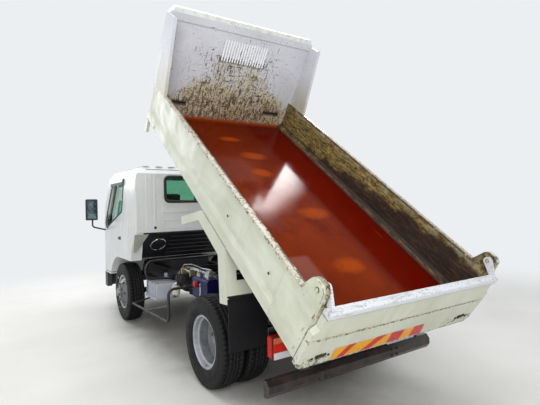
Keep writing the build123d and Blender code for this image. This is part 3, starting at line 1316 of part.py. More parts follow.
SEAT_BASE = CAB_SIDE_BOTTOM + FLOOR_T_CAB + SOFT_GAP
SEAT_X = CAB_REAR + 450
SEAT_BACK_H = 770
SEAT_Y = ((140, 680), (-680, -100))
with BuildPart() as seats:
    for y_span in SEAT_Y:
        block((SEAT_X, SEAT_X + 530), y_span, (SEAT_BASE, SEAT_BASE + 150))
        side_prism(
            [
                (SEAT_X - 100, SEAT_BASE), (SEAT_X - SOFT_GAP, SEAT_BASE),
                (SEAT_X - SOFT_GAP, SEAT_BASE + 200),
                (SEAT_X - 130, SEAT_BASE + SEAT_BACK_H), (SEAT_X - 220, SEAT_BASE + SEAT_BACK_H - 20),
                (SEAT_X - 100, SEAT_BASE + 140),
            ],
            y_span,
        )
keep(seats.part, "seats")

WHEEL_CENTRE = (WHEELBASE + 430, -390, 1230)
COLUMN_TILT = 30
COLUMN_LENGTH = 520
WHEEL_RING_R = 190
column_drop = (COLUMN_LENGTH * sin(radians(COLUMN_TILT)), COLUMN_LENGTH * cos(radians(COLUMN_TILT)))
with BuildPart() as steering_wheel:
    with Locations(Location(WHEEL_CENTRE, (0, -COLUMN_TILT, 0))):
        Torus(WHEEL_RING_R, 14)
        Cylinder(40, 24)
        Box(2 * WHEEL_RING_R - 4, 26, 10)
        Box(26, 2 * WHEEL_RING_R - 4, 10)
    column_middle = (
        WHEEL_CENTRE[0] + column_drop[0] / 2, WHEEL_CENTRE[1], WHEEL_CENTRE[2] - column_drop[1] / 2,
    )
    with Locations(Location(column_middle, (0, -COLUMN_TILT, 0))):
        Cylinder(22, COLUMN_LENGTH)
    foot_x = WHEEL_CENTRE[0] + column_drop[0]
    block(
        (foot_x - 40, foot_x + 30), (WHEEL_CENTRE[1] - 40, WHEEL_CENTRE[1] + 40),
        (TUNNEL_TOP + 40, WHEEL_CENTRE[2] - column_drop[1] + 20),
    )
keep(steering_wheel.part, "steering_wheel")

MIRROR_X = (DOOR_FRONT - 85, DOOR_FRONT - 30)
MIRROR_Y = (CAB_HALF + 95, CAB_HALF + 255)
MIRROR_Z = (1300, 1600)
STAY_R = 11
with BuildPart() as mirror_head:
    block(MIRROR_X, MIRROR_Y, MIRROR_Z)
    fillet(mirror_head.edges(), 18)
    stay_y = MIRROR_Y[0] + 70
    bent_tube(
        [
            (MIRROR_X[0] + 27, stay_y, MIRROR_Z[0] + 10), (MIRROR_X[0] + 27, stay_y, MIRROR_Z[0] - 95),
            (MIRROR_X[0] - 5, CAB_HALF - 35, MIRROR_Z[0] - 150),
        ],
        40, STAY_R,
    )
    add(door.part, mode=Mode.SUBTRACT)
keep_pair(mirror_head.part, "mirror")

# The origin lies on the ground below the middle of the standing truck
overall = Compound(list(pieces.values())).bounding_box()
to_origin = Pos(-(overall.min.X + overall.max.X) / 2, 0, 0)
os.makedirs("parts", exist_ok=True)
for label, piece in pieces.items():
    piece = to_origin * piece
    piece.label = label
    export_step(piece, f"parts/{label}.step")
print(f"rear axle at X {-(overall.min.X + overall.max.X) / 2:.2f}, raised hoist length {hoist_length:.2f}")
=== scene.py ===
"""Finish, fittings and studio for a light dump truck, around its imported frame."""

import json
from itertools import product
from math import cos, pi, radians, sin

import bmesh
import bpy
from mathutils import Matrix, Vector


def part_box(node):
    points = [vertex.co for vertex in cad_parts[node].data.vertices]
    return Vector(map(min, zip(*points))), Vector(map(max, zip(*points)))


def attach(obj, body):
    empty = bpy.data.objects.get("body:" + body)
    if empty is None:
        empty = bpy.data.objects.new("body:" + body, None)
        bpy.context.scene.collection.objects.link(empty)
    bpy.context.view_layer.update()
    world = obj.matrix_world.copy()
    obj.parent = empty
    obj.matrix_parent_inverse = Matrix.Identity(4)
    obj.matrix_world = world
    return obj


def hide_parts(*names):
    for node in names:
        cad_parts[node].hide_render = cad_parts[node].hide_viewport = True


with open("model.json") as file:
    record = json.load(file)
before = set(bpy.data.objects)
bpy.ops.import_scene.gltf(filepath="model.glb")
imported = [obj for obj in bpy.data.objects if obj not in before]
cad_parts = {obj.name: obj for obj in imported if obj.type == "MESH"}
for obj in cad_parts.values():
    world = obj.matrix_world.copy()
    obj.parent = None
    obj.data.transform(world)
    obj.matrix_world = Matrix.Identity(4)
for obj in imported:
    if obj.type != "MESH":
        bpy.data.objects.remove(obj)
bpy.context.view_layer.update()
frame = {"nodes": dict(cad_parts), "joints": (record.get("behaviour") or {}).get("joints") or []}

# Places that the other values hang from, in metres in the row frame
BED_TIP = next(joint for joint in frame["joints"] if joint["name"] == "bed_tip")
rear_low, rear_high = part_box("rear_tyres_left")
front_low, front_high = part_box("front_tyre_left")
AXLE_X = (rear_low.x + rear_high.x) / 2
FRONT_AXLE_X = (front_low.x + front_high.x) / 2
TYRE_R = (rear_high.z - rear_low.z) / 2
HINGE = Vector(BED_TIP["pos_m"])
BED_TILT = radians(-BED_TIP["range_deg"][0])
RAISED = Matrix.Translation(HINGE) @ Matrix.Rotation(-BED_TILT, 4, "Y") @ Matrix.Translation(-HINGE)
BED_FLOOR = 0.95
SIDES = (("left", 1), ("right", -1))


def truck(x, y, z):
    """A point given from the rear axle's centre line on the ground."""
    return Vector((AXLE_X + x, y, z))


def in_bed(x, y, z):
    """A point of the bed given as if the bed lay on the chassis."""
    return RAISED @ truck(x, y, z)


def screen(*values):
    """A colour from its screen values of 0 to 255."""
    shares = [value / 255 for value in values]
    return (*(s / 12.92 if s <= 0.04045 else ((s + 0.055) / 1.055) ** 2.4 for s in shares), 1)


def put(name, data):
    item = bpy.data.objects.new(name, data)
    bpy.context.scene.collection.objects.link(item)
    return item


class Nodes:
    """A node tree. Its methods add nodes, and give back an output of the last one."""

    def __init__(self, owner):
        owner.use_nodes = True
        self.tree = owner.node_tree

    def plug(self, node, inputs):
        """Give the inputs of a node, by their names or numbers, an output or a value."""
        for key, value in inputs.items():
            if isinstance(value, bpy.types.NodeSocket):
                self.tree.links.new(value, node.inputs[key])
            else:
                node.inputs[key].default_value = value

    def add(self, kind, output, inputs=(), **settings):
        node = self.tree.nodes.new(kind)
        for key, value in settings.items():
            setattr(node, key, value)
        self.plug(node, dict(inputs))
        return node.outputs[output]

    def show(self, shader):
        """Let a shader be what the tree shows."""
        output = next(node for node in self.tree.nodes if node.name.endswith("Output"))
        self.plug(output, {"Surface": shader})

    def split(self, vector):
        return self.add("ShaderNodeSeparateXYZ", slice(0, 3), {0: vector})

    def math(self, operation, *values):
        return self.add("ShaderNodeMath", 0, enumerate(values), operation=operation)

    def fold(self, operation, values):
        result = values[0]
        for value in values[1:]:
            result = self.math(operation, result, value)
        return result

    def sum(self, *values):
        return self.fold("ADD", values)

    def minus(self, first, second):
        return self.math("SUBTRACT", first, second)

    def size(self, value):
        return self.math("ABSOLUTE", value)

    def both(self, *masks):
        """The product of several masks."""
        return self.fold("MULTIPLY", masks)

    def either(self, *masks):
        """The largest of several masks."""
        return self.fold("MAXIMUM", masks)

    def squares(self, first, second):
        return self.sum(self.both(first, first), self.both(second, second))

    def distance(self, first, second):
        return self.math("SQRT", self.squares(first, second))

    def swing(self, noise, reach):
        """A noise about zero."""
        return self.both(self.minus(noise, 0.5), reach)

    def ramp(self, value, low, high, start=0.0, end=1.0):
        """A smooth step from start at low to end at high."""
        inputs = enumerate((value, low, high, start, end))
        return self.add("ShaderNodeMapRange", "Result", inputs, interpolation_type="SMOOTHSTEP")

    def band(self, value, low, high, soft):
        """1 between low and high, with soft ends."""
        rise = self.ramp(value, low - soft, low + soft)
        return self.both(rise, self.ramp(value, high - soft, high + soft, 1.0, 0.0))

    def sown(self, mask, share, noise, low, high):
        """Patches of a noise, with more of them where the mask is."""
        return self.ramp(self.sum(self.both(mask, share), noise), low, high)

    def mix(self, factor, first, second):
        """Colours are outputs, linear colours, or screen values from 0 to 255."""
        inputs = {0: factor}
        for key, color in ((6, first), (7, second)):
            inputs[key] = screen(*color) if isinstance(color, tuple) and len(color) == 3 else color
        return self.add("ShaderNodeMix", 2, inputs, data_type="RGBA")


class Finish(Nodes):
    """A procedural material.

    Places are in metres. With lying_bed they are from the rear axle, as if the bed lay on the chassis.
    """

    def __init__(self, name, lying_bed=False):
        self.material = bpy.data.materials.new(name)
        super().__init__(self.material)
        self.surface = self.tree.nodes["Principled BSDF"]
        self.place = self.add("ShaderNodeTexCoord", "Object")
        self.color = None
        self.relief = {}
        if lying_bed:
            shift = HINGE - Matrix.Rotation(BED_TILT, 3, "Y") @ HINGE - Vector((AXLE_X, 0, 0))
            inputs = {"Vector": self.place, "Rotation": (0, BED_TILT, 0), "Location": shift}
            self.place = self.add("ShaderNodeMapping", "Vector", inputs)
        self.x, self.y, self.z = self.split(self.place)

    def noise(self, scale, detail=3.0, rough=0.55, stretch=None, turn=(0, 0, 0), seed=0.0):
        place = self.place
        if stretch:
            inputs = {"Vector": place, "Scale": stretch, "Rotation": [radians(angle) for angle in turn]}
            place = self.add("ShaderNodeMapping", "Vector", inputs)
        inputs = {"Vector": place, "W": seed, "Scale": scale, "Detail": detail, "Roughness": rough}
        return self.add("ShaderNodeTexNoise", "Fac", inputs, noise_dimensions="4D")

    def clouds(self, low, high, *noise, **more):
        """Patches of a noise: 0 where it is under low and 1 over high."""
        return self.ramp(self.noise(*noise, **more), low, high)

    def cells(self, scale):
        return self.add("ShaderNodeTexVoronoi", "Distance", {"Vector": self.place, "Scale": scale})

    def edges(self, radius):
        """1 along the edges of the shape, within a radius."""
        soft = self.add("ShaderNodeBevel", "Normal", {"Radius": radius}, samples=4)
        sharp = self.add("ShaderNodeNewGeometry", "Normal")
        dot = self.add("ShaderNodeVectorMath", "Value", {0: soft, 1: sharp}, operation="DOT_PRODUCT")
        return self.ramp(dot, 0.98, 0.85)

    def over(self, color, *masks):
        """Lay a colour over the finish where all the masks are."""
        self.color = self.mix(self.both(*masks), self.color, color)

    def emboss(self, height, distance, strength=1.0):
        inputs = {"Height": height, "Distance": distance, "Strength": strength, **self.relief}
        self.relief = {"Normal": self.add("ShaderNodeBump", "Normal", inputs)}

    def finish(self, rough, metal=0.0, shine=0.5, coat=0.0, clear=0.0, **more):
        self.plug(self.surface, {
            "Base Color": self.color, "Roughness": rough, "Metallic": metal, "Specular IOR Level": shine,
            "Coat Weight": coat, "Transmission Weight": clear, **self.relief, **more,
        })
        return self.material


CREAM = (202, 204, 188)
CREAM_SHADE = (188, 191, 172)
GREENISH = (176, 182, 146)
RUST = (74, 44, 22)
RUST_LIGHT = (128, 88, 42)
SOOT = (26, 24, 22)


def chipped(f, width, amount):
    """Chips in the paint along edges: a mask of bare rusty steel."""
    patches = f.clouds(0.74 - amount, 0.80 - amount, 18, 5, 0.7, seed=3.1)
    return f.both(f.edges(width), patches, f.clouds(0.50, 0.56, 130, 4, 0.75, seed=1.7))


def pit(f, bare):
    """Sink the places that have lost their paint."""
    f.emboss(f.minus(1.0, bare), 0.0012, 0.6)


def worn_cream(f, chips, grime):
    """Old cream paint: clouds, runs, spots and chipped edges. It returns the mask of the chips."""
    f.color = f.mix(f.clouds(0.35, 0.7, 2.2, 4, 0.6), CREAM, CREAM_SHADE)
    f.over(GREENISH, f.clouds(0.55, 0.75, 5.0, 3, 0.6, seed=14), 0.3)
    f.over((150, 146, 112), f.clouds(0.55, 0.78, 9, 4, 0.6, stretch=(1, 1, 0.12), seed=5), grime)
    f.over(RUST_LIGHT, f.ramp(f.cells(26), 0.12, 0.07), f.clouds(0.54, 0.62, 3.5, 3, 0.6, seed=21), 0.7)
    f.over(RUST_LIGHT, f.clouds(0.69, 0.73, 160, 2, 0.6, seed=9), 0.5)
    bare = chipped(f, 0.009, chips)
    f.over(f.mix(f.clouds(0.4, 0.65, 60, 3, 0.6), RUST, RUST_LIGHT), bare)
    return bare


def cream_paint(name, chips=0.25, grime=0.35):
    """Cream white bed paint with rusty chips on its edges and faint streaks."""
    f = Finish(name, lying_bed=True)
    bare = worn_cream(f, chips, grime)
    pit(f, bare)
    f.emboss(f.noise(3.5, 2), 0.01, 0.12)
    return f.finish(f.either(f.ramp(f.noise(12, 3), 0.3, 0.7, 0.34, 0.5), f.both(bare, 0.8)))


def gate_paint():
    """Cream gate with a scraped white top rail, a rusty pressed crease, and grime at its lower corners."""
    f = Finish("gate_paint", lying_bed=True)
    bare = worn_cream(f, 0.32, 0.55)
    scuff = f.clouds(0.5, 0.7, 30, 5, 0.7, stretch=(1, 0.15, 1), seed=17)
    white = f.mix(scuff, (206, 209, 214), (160, 158, 152))
    white = f.mix(f.both(f.band(f.z, 1.224, 1.242, 0.006), 0.75), white, (112, 106, 98))
    f.over(white, f.ramp(f.z, 1.230, 1.236))
    rust = f.mix(f.clouds(0.4, 0.6, 90, 2), RUST, RUST_LIGHT)
    f.over(rust, f.band(f.z, 1.046, 1.070, 0.004), f.clouds(0.50, 0.56, 38, 4, 0.7, seed=23), 0.85)
    f.over((120, 92, 60), f.ramp(f.z, 1.270, 1.276), f.clouds(0.56, 0.62, 80, 4, 0.7, seed=19), 0.8)
    corner = f.both(f.ramp(f.y, 0.50, 0.72), f.ramp(f.z, 0.97, 0.86))
    far_corner = f.both(f.ramp(f.y, -0.42, -0.6), f.ramp(f.z, 1.0, 0.88))
    blots = f.sown(f.either(corner, far_corner), 0.14, f.noise(30, 5, 0.8, seed=25), 0.64, 0.67)
    f.over(f.mix(f.clouds(0.45, 0.55, 16, 3, seed=27), (40, 32, 20), (122, 104, 60)), blots, 0.85)
    f.over((70, 54, 34), f.ramp(f.z, 0.836, 0.826), f.clouds(0.44, 0.52, 44, 4, 0.7, seed=29), 0.8)
    pit(f, bare)
    f.emboss(f.noise(3.5, 2), 0.012, 0.2)
    return f.finish(f.ramp(f.noise(12, 3), 0.3, 0.7, 0.36, 0.55))


def chassis_black(name, rust=0.1, tint=(20, 21, 26)):
    """Black paint with dust, rust and rubbed edges."""
    f = Finish(name)
    dust = f.clouds(0.45, 0.8, 5, 4, 0.65)
    f.color = f.mix(f.both(dust, 0.35), tint, (60, 58, 55))
    f.over((58, 40, 34), f.clouds(0.68 - rust, 0.76 - rust, 18, 4, 0.7, seed=4), 0.7)
    f.over((92, 90, 90), f.edges(0.006), 0.35)
    f.emboss(f.noise(40, 3), 0.002, 0.3)
    return f.finish(f.ramp(dust, 0.0, 1.0, 0.32, 0.6))


def paint(name, tint, rough=0.35, metal=0.0, shade=0.8, scale=6.0, **more):
    """A painted or moulded surface with soft variation of tone and gloss."""
    f = Finish(name)
    tint = screen(*tint)
    dark = tuple(channel * shade for channel in tint[:3]) + (1,)
    f.color = f.mix(f.clouds(0.35, 0.7, scale, 4, 0.6), tint, dark)
    f.emboss(f.noise(scale * 6, 2), 0.002, 0.15)
    return f.finish(f.ramp(f.noise(scale * 2, 3), 0.3, 0.7, rough, rough + 0.15), metal, **more)


def cab_white():
    """White cab paint, with faint runs low down."""
    f = Finish("cab_white")
    f.color = f.mix(f.clouds(0.35, 0.7, 1.7, 4, 0.6), (216, 218, 217), (204, 206, 203))
    streaks = f.clouds(0.5, 0.8, 11, 4, 0.6, stretch=(1, 1, 0.06), seed=2)
    f.over((160, 158, 148), streaks, f.ramp(f.z, 1.9, 0.8), 0.35)
    return f.finish(f.ramp(streaks, 0, 1, 0.22, 0.4), coat=0.3, **{"Coat Roughness": 0.15})


# Places on the bed floor where reflections of warm lamps are painted as orange spots: middle in x and y, and
# half sizes
LAMP_REFLECTION_SPOTS = (
    (0.95, -0.01, 0.06, 0.12), (0.62, 0.06, 0.06, 0.09), (-0.04, -0.12, 0.07, 0.13),
    (-0.70, -0.02, 0.07, 0.12), (1.29, 0.11, 0.04, 0.10),
)


def spot(f, x, y, half_x, half_y):
    """A ragged oval with a soft edge about a place seen from above."""
    square = f.squares(f.math("DIVIDE", f.minus(f.x, x), half_x), f.math("DIVIDE", f.minus(f.y, y), half_y))
    soft = f.ramp(f.sum(square, f.swing(f.noise(13, 3, 0.6, seed=71), 1.6)), 3.2, 0.0)
    return f.both(soft, soft)


def floor_red():
    """Glossy worn rust-red steel floor of the bed, with painted reflections in orange spots and mauve
    patches.
    """
    f = Finish("floor_red", lying_bed=True)
    f.color = f.mix(f.clouds(0.3, 0.7, 1.3, 4, 0.6, stretch=(0.7, 1, 1)), (124, 42, 2), (98, 27, 2))
    f.over((80, 17, 2), f.clouds(0.45, 0.65, 3.2, 5, 0.65, seed=33), 0.6)
    f.over((94, 24, 2), f.ramp(f.x, 0.2, 1.3), 0.75)
    f.over((88, 8, 1), f.ramp(f.sum(f.y, f.swing(f.noise(2.5, 3), 0.12)), -0.20, -0.36), 0.9)
    # Painted reflections: two pale mauve patches where the bright room would mirror in the floor
    f.over((126, 74, 60), f.ramp(f.size(f.minus(f.x, 0.68)), 0.3, 0.12), f.ramp(f.y, 0.06, 0.2), 0.28)
    f.over((138, 92, 80), f.ramp(f.size(f.minus(f.x, -0.68)), 0.15, 0.11), f.ramp(f.y, 0.27, 0.33), 0.45)
    # Painted reflection: orange spots where warm lamps would mirror in the glossy floor
    f.over((186, 80, 3), f.either(*(spot(f, *place) for place in LAMP_REFLECTION_SPOTS)), 0.42)
    f.over((48, 16, 6), f.ramp(f.size(f.y), 0.70, 0.79), 0.8)
    f.over((150, 60, 14), f.either(f.ramp(f.x, 1.66, 1.73), f.ramp(f.x, -1.22, -1.26)), 0.6)
    scratches = f.clouds(0.66, 0.71, 26, 5, 0.7, stretch=(0.05, 1, 1), turn=(0, 0, 4), seed=8)
    f.over((176, 90, 40), scratches, 0.22)
    f.over((52, 18, 8), f.ramp(f.cells(34), 0.10, 0.06), f.clouds(0.52, 0.6, 4, 3, seed=31), 0.6)
    f.emboss(f.noise(1.8, 2, 0.5), 0.02, 0.15)
    f.emboss(scratches, 0.001, 0.15)
    return f.finish(f.ramp(f.noise(5, 4, 0.6, seed=6), 0.3, 0.75, 0.08, 0.16), shine=0.03)


def wall_dirt(f, inner):
    """Ochre and brown dirt smeared along the inside of the bed, darker low down and towards the rear."""
    paint_below = f.color
    streak = f.noise(50, 5, 0.8, stretch=(0.14, 1, 1), seed=11)
    grit = f.noise(48, 5, 0.8, stretch=(0.6, 1, 1), seed=12)
    patch = f.noise(6, 4, 0.65, seed=13)
    line = f.sum(f.ramp(f.x, 1.55, -0.9, 0.98, 1.20), f.swing(patch, 0.30), f.swing(streak, 0.20))
    brown = f.mix(f.ramp(streak, 0.46, 0.66), (30, 18, 11), (84, 54, 28))
    ochre = f.mix(f.ramp(streak, 0.42, 0.62), (92, 70, 30), (166, 146, 84))
    ochre = f.mix(f.ramp(grit, 0.52, 0.58), ochre, (50, 36, 16))
    f.color = f.mix(f.ramp(f.minus(f.z, line), -0.02, 0.04), brown, ochre)
    f.over((18, 13, 10), f.ramp(grit, 0.58, 0.63), 0.9)
    f.over((170, 140, 86), f.ramp(grit, 0.40, 0.34), f.ramp(patch, 0.45, 0.6), 0.4)
    f.over((20, 14, 10), f.band(f.z, 0.992, 1.006, 0.003), 0.8)
    f.over((122, 84, 42), f.band(f.z, 0.962, 0.974, 0.003), f.ramp(streak, 0.45, 0.55), 0.8)
    f.over((206, 204, 176), f.ramp(f.z, 1.255, 1.266), f.clouds(0.42, 0.5, 20, 4, 0.6, seed=41), 0.8)
    f.color = f.mix(inner, paint_below, f.color)
    return streak


def bed_side_paint():
    """Cream and softly dented outside, dirty inside, with a rusty top edge and worn ears."""
    f = Finish("bed_side_paint", lying_bed=True)
    bare = worn_cream(f, 0.24, 0.3)
    off_middle = f.size(f.y)
    inner = f.ramp(off_middle, 0.806, 0.802)
    streak = wall_dirt(f, inner)
    f.over(GREENISH, f.ramp(f.z, 1.19, 1.26), f.clouds(0.42, 0.62, 7, 4, 0.65, seed=77), 0.5)
    before_ear = f.ramp(f.x, -1.13, -1.09)
    # Painted shade: the side's top face before the ear made darker against the light from above
    f.over((178, 170, 152), before_ear, f.ramp(f.z, 1.262, 1.267), 0.8)
    rust = f.mix(f.clouds(0.4, 0.6, 60, 3), RUST, (120, 88, 50))
    flakes = f.clouds(0.51, 0.55, 44, 5, 0.75, seed=43)
    f.over(rust, before_ear, f.ramp(f.z, 1.246, 1.258), flakes, f.clouds(0.38, 0.5, 5, 4, 0.7, seed=44), 0.9)
    lip = f.both(f.band(off_middle, 0.798, 0.815, 0.003), f.ramp(f.z, 1.252, 1.260))
    f.over((66, 44, 26), lip, f.clouds(0.36, 0.48, 16, 4, 0.7, seed=75), 0.9)
    ear = f.both(f.ramp(f.x, -1.08, -1.16), f.ramp(f.z, 1.20, 1.26))
    worn = f.clouds(0.50, 0.56, 26, 5, 0.75, seed=45)
    f.over((52, 40, 24), ear, worn, f.ramp(f.edges(0.012), 0.0, 0.5), 0.95)
    inner_ear = f.both(ear, f.ramp(off_middle, 0.842, 0.835))
    f.over((140, 126, 84), inner_ear, f.clouds(0.42, 0.5, 20, 4, 0.7, seed=46), 0.75)
    f.over((40, 30, 18), inner_ear, f.clouds(0.50, 0.55, 34, 5, 0.8, seed=48), 0.9)
    rear_edge = f.both(f.ramp(f.x, -1.225, -1.245), f.ramp(f.z, 1.24, 1.22))
    f.over((120, 92, 58), rear_edge, f.clouds(0.5, 0.58, 30, 4, 0.7, stretch=(1, 1, 0.3), seed=47), 0.85)
    f.emboss(f.noise(2.6, 2, 0.5, stretch=(1, 1, 1.6), seed=73), 0.11, 0.5)
    pit(f, bare)
    f.emboss(f.both(streak, inner), 0.006, 0.5)
    return f.finish(f.ramp(f.either(bare, inner), 0, 1, 0.36, 0.8))


def headboard_paint():
    """Pale board, with a fan of dirt and many small scratches where loads are thrown against it."""
    f = Finish("headboard_paint", lying_bed=True)
    f.color = f.mix(f.clouds(0.35, 0.7, 2.0, 4, 0.6), (212, 214, 220), (198, 200, 206))
    edge_white = f.mix(f.clouds(0.4, 0.7, 14, 4, 0.6, seed=51), (232, 234, 231), (204, 206, 192))
    f.over(edge_white, f.ramp(f.z, 1.984, 1.99))
    off_middle = f.size(f.sum(f.y, 0.05))
    face = f.ramp(f.x, 1.748, 1.744)
    streak = f.noise(34, 5, 0.75, stretch=(1, 1, 0.4), seed=7)
    patch = f.noise(6, 4, 0.65, seed=53)
    inside = f.ramp(f.minus(f.ramp(f.z, 1.66, 1.05, 0.30, 0.80), off_middle), -0.16, 0.18)
    density = f.both(inside, f.ramp(f.z, 1.62, 1.1, 0.62, 1.0), f.ramp(f.z, 1.70, 1.60), face)
    density = f.either(density, f.both(f.ramp(f.z, 1.20, 0.97), 0.75, face))
    loose = f.sum(f.swing(streak, 0.9), f.swing(patch, 1.6))
    mud = f.both(f.ramp(f.sum(density, loose), 0.28, 1.0), face)
    f.over(f.mix(f.ramp(f.z, 1.55, 1.0), (202, 194, 160), (184, 162, 118)), mud, 0.85)
    heavy = f.both(f.ramp(f.z, 1.36, 1.0), f.ramp(f.minus(0.6, off_middle), -0.15, 0.4), face)
    f.over((146, 100, 54), f.sown(heavy, 0.5, loose, 0.30, 0.65), 0.4)
    grains = f.either(
        f.sown(density, 0.16, streak, 0.665, 0.70),
        f.sown(density, 0.13, f.noise(42, 5, 0.75, seed=8), 0.665, 0.69),
        f.sown(density, 0.07, f.noise(64, 3, 0.7, seed=67), 0.64, 0.66),
    )
    f.over(f.mix(f.clouds(0.4, 0.6, 18, 3, seed=9), (92, 66, 40), (44, 32, 22)), grains, 0.85, face)
    near = f.both(f.ramp(off_middle, 0.9, 0.25), f.ramp(f.z, 1.98, 1.6, 0.35, 1.0), face)
    dashes = f.noise(24, 3, 0.75, stretch=(1, 0.4, 2.2), seed=57)
    nicks = f.noise(26, 3, 0.75, stretch=(1, 2.4, 0.3), turn=(14, 0, 0), seed=59)
    slants = f.noise(26, 3, 0.75, stretch=(1, 2.6, 0.25), turn=(52, 0, 0), seed=63)
    marks = f.either(
        f.sown(near, 0.09, f.noise(30, 4, 0.8, seed=2), 0.70, 0.715),
        f.sown(near, 0.11, dashes, 0.705, 0.715),
        f.sown(near, 0.12, nicks, 0.71, 0.72),
        f.sown(near, 0.11, slants, 0.71, 0.72),
    )
    marks = f.both(marks, face)
    f.over(SOOT, marks, 0.9)
    vent_foot = f.both(f.band(f.z, 1.605, 1.66, 0.014), f.band(f.y, -0.32, 0.24, 0.02))
    f.over((70, 60, 48), vent_foot, f.clouds(0.42, 0.5, 60, 3, 0.7, seed=61), face, 0.8)
    # Painted shade: dark brown in and round the low slots
    f.over((48, 32, 20), f.band(f.z, 1.085, 1.135, 0.008), f.band(f.size(f.y), 0.48, 0.71, 0.01), 0.85)
    f.over((150, 62, 20), f.ramp(f.z, 0.985, 0.962), 0.9, face)
    f.over(RUST_LIGHT, chipped(f, 0.007, 0.2))
    wings = f.both(f.ramp(f.x, 1.735, 1.715), f.ramp(f.z, 1.75, 1.2))
    f.over((172, 168, 128), wings, f.ramp(patch, 0.30, 0.5), 0.75)
    f.emboss(f.either(marks, mud), 0.001, 0.4)
    return f.finish(f.ramp(mud, 0, 1, 0.4, 0.75))


def tyre_rubber():
    f = Finish("tyre_rubber")
    dust = f.clouds(0.4, 0.75, 14, 4, 0.65)
    f.color = f.mix(f.both(dust, 0.3), (17, 17, 18), (38, 37, 35))
    f.emboss(f.noise(220, 2), 0.0008, 0.3)
    return f.finish(f.ramp(dust, 0, 1, 0.62, 0.85), shine=0.25)


def wheel_silver():
    """Silver wheel paint, dull with brake dust round the hubs."""
    f = Finish("wheel_silver")
    f.color = f.mix(f.clouds(0.35, 0.7, 8, 4, 0.6), (176, 180, 186), (142, 144, 148))
    grime = f.clouds(0.5, 0.7, 20, 4, 0.7, seed=3)
    f.over((96, 90, 80), grime, 0.5)
    drop = f.minus(f.z, TYRE_R)
    for centre in (AXLE_X, FRONT_AXLE_X):
        radius = f.distance(f.minus(f.x, centre), drop)
        f.over((58, 52, 46), f.ramp(f.sum(radius, f.both(grime, 0.02)), 0.192, 0.172), 0.62)
    return f.finish(f.ramp(grime, 0, 1, 0.34, 0.65), 0.35)


def glass(name, tint):
    f = Finish(name)
    f.color = screen(*tint)
    return f.finish(f.ramp(f.noise(5, 3, 0.6), 0.4, 0.75, 0.02, 0.09), shine=0.6, clear=1.0, IOR=1.45)


MATERIALS = {
    "bed_side": bed_side_paint(),
    "headboard": headboard_paint(),
    "cream": cream_paint("cream_paint"),
    "gate": gate_paint(),
    "guard": cream_paint("guard_paint", 0.08, 0.25),
    "frame": cream_paint("bed_frame_paint", 0.3, 0.9),
    "floor": floor_red(),
    "chassis": chassis_black("chassis_black"),
    "bumper": chassis_black("bumper_black", 0.2, (26, 24, 25)),
    "cab": cab_white(),
    "tyre": tyre_rubber(),
    "wheel": wheel_silver(),
    "glass": glass("green_glass", (158, 206, 184)),
    "clear": glass("lamp_glass", (245, 248, 250)),
    "red": paint("red_lens", (206, 30, 8), 0.3, shine=0.2),
    "amber": paint("amber_lens", (226, 104, 12), 0.12, coat=0.6, clear=0.2),
    "flap": paint("flap_rubber", (16, 17, 20), 0.5, shine=0.3),
    "plastic": paint("black_plastic", (28, 28, 30), 0.45),
    "grey_plastic": paint("grey_plastic", (58, 59, 62), 0.5),
    "seat": paint("seat_vinyl", (66, 68, 72), 0.55),
    "blue": paint("blue_tank", (10, 13, 70), 0.38, shine=0.3),
    "cover": paint("white_cover", (180, 184, 192), 0.4),
    # Painted shade: the cab's paint made grey, for the plates under the cab's rear corners
    "painted_shade_cab": paint("grey_painted_shade_cab", (146, 149, 138), 0.4),
    "cast": paint("cast_iron", (52, 52, 54), 0.6, 0.4),
    "exhaust": paint("exhaust_steel", (120, 108, 98), 0.5, 0.8),
    "guard_rail": paint("guard_rail_paint", (40, 40, 43), 0.4, 0.3),
    "chrome": paint("rod_chrome", (225, 226, 228), 0.06, 1.0),
    "mirror": paint("mirror_silver", (214, 217, 220), 0.03, 1.0, 0.95),
    "mirror_glass": paint("mirror_glass", (72, 86, 90), 0.05, 1.0, 0.9),
    "zinc": paint("zinc_plate", (186, 189, 194), 0.22, 0.85),
    "brass": paint("yellow_zinc", (168, 156, 120), 0.3, 0.8),
    "dark_bolt": paint("dark_bolt", (44, 43, 44), 0.4, 0.3),
    "rusty": paint("rusty_steel", (58, 44, 32), 0.65, 0.2, 0.5, 40),
    # Painted shade: black for the channel seen through the headboard's low slots
    "slot_shade": paint("slot_shade_black", (16, 13, 11), 0.8, 0.0, 0.6, 20),
    "seal": paint("seal_rubber", (17, 17, 18), 0.5),
    "smoke": glass("smoked_visor", (60, 66, 68)),
    "cap_red": paint("cap_red", (176, 16, 14), 0.3),
    "ivory": paint("ivory_paint", (206, 200, 180), 0.35),
    "yellow": paint("reflect_yellow", (228, 160, 8), 0.25, 0.0, 0.85, 14),
    "reflect_red": paint("reflect_red", (196, 38, 8), 0.25, 0.0, 0.8, 14),
    "lens_clear": paint("lens_clear", (214, 216, 218), 0.1, coat=0.6),
}

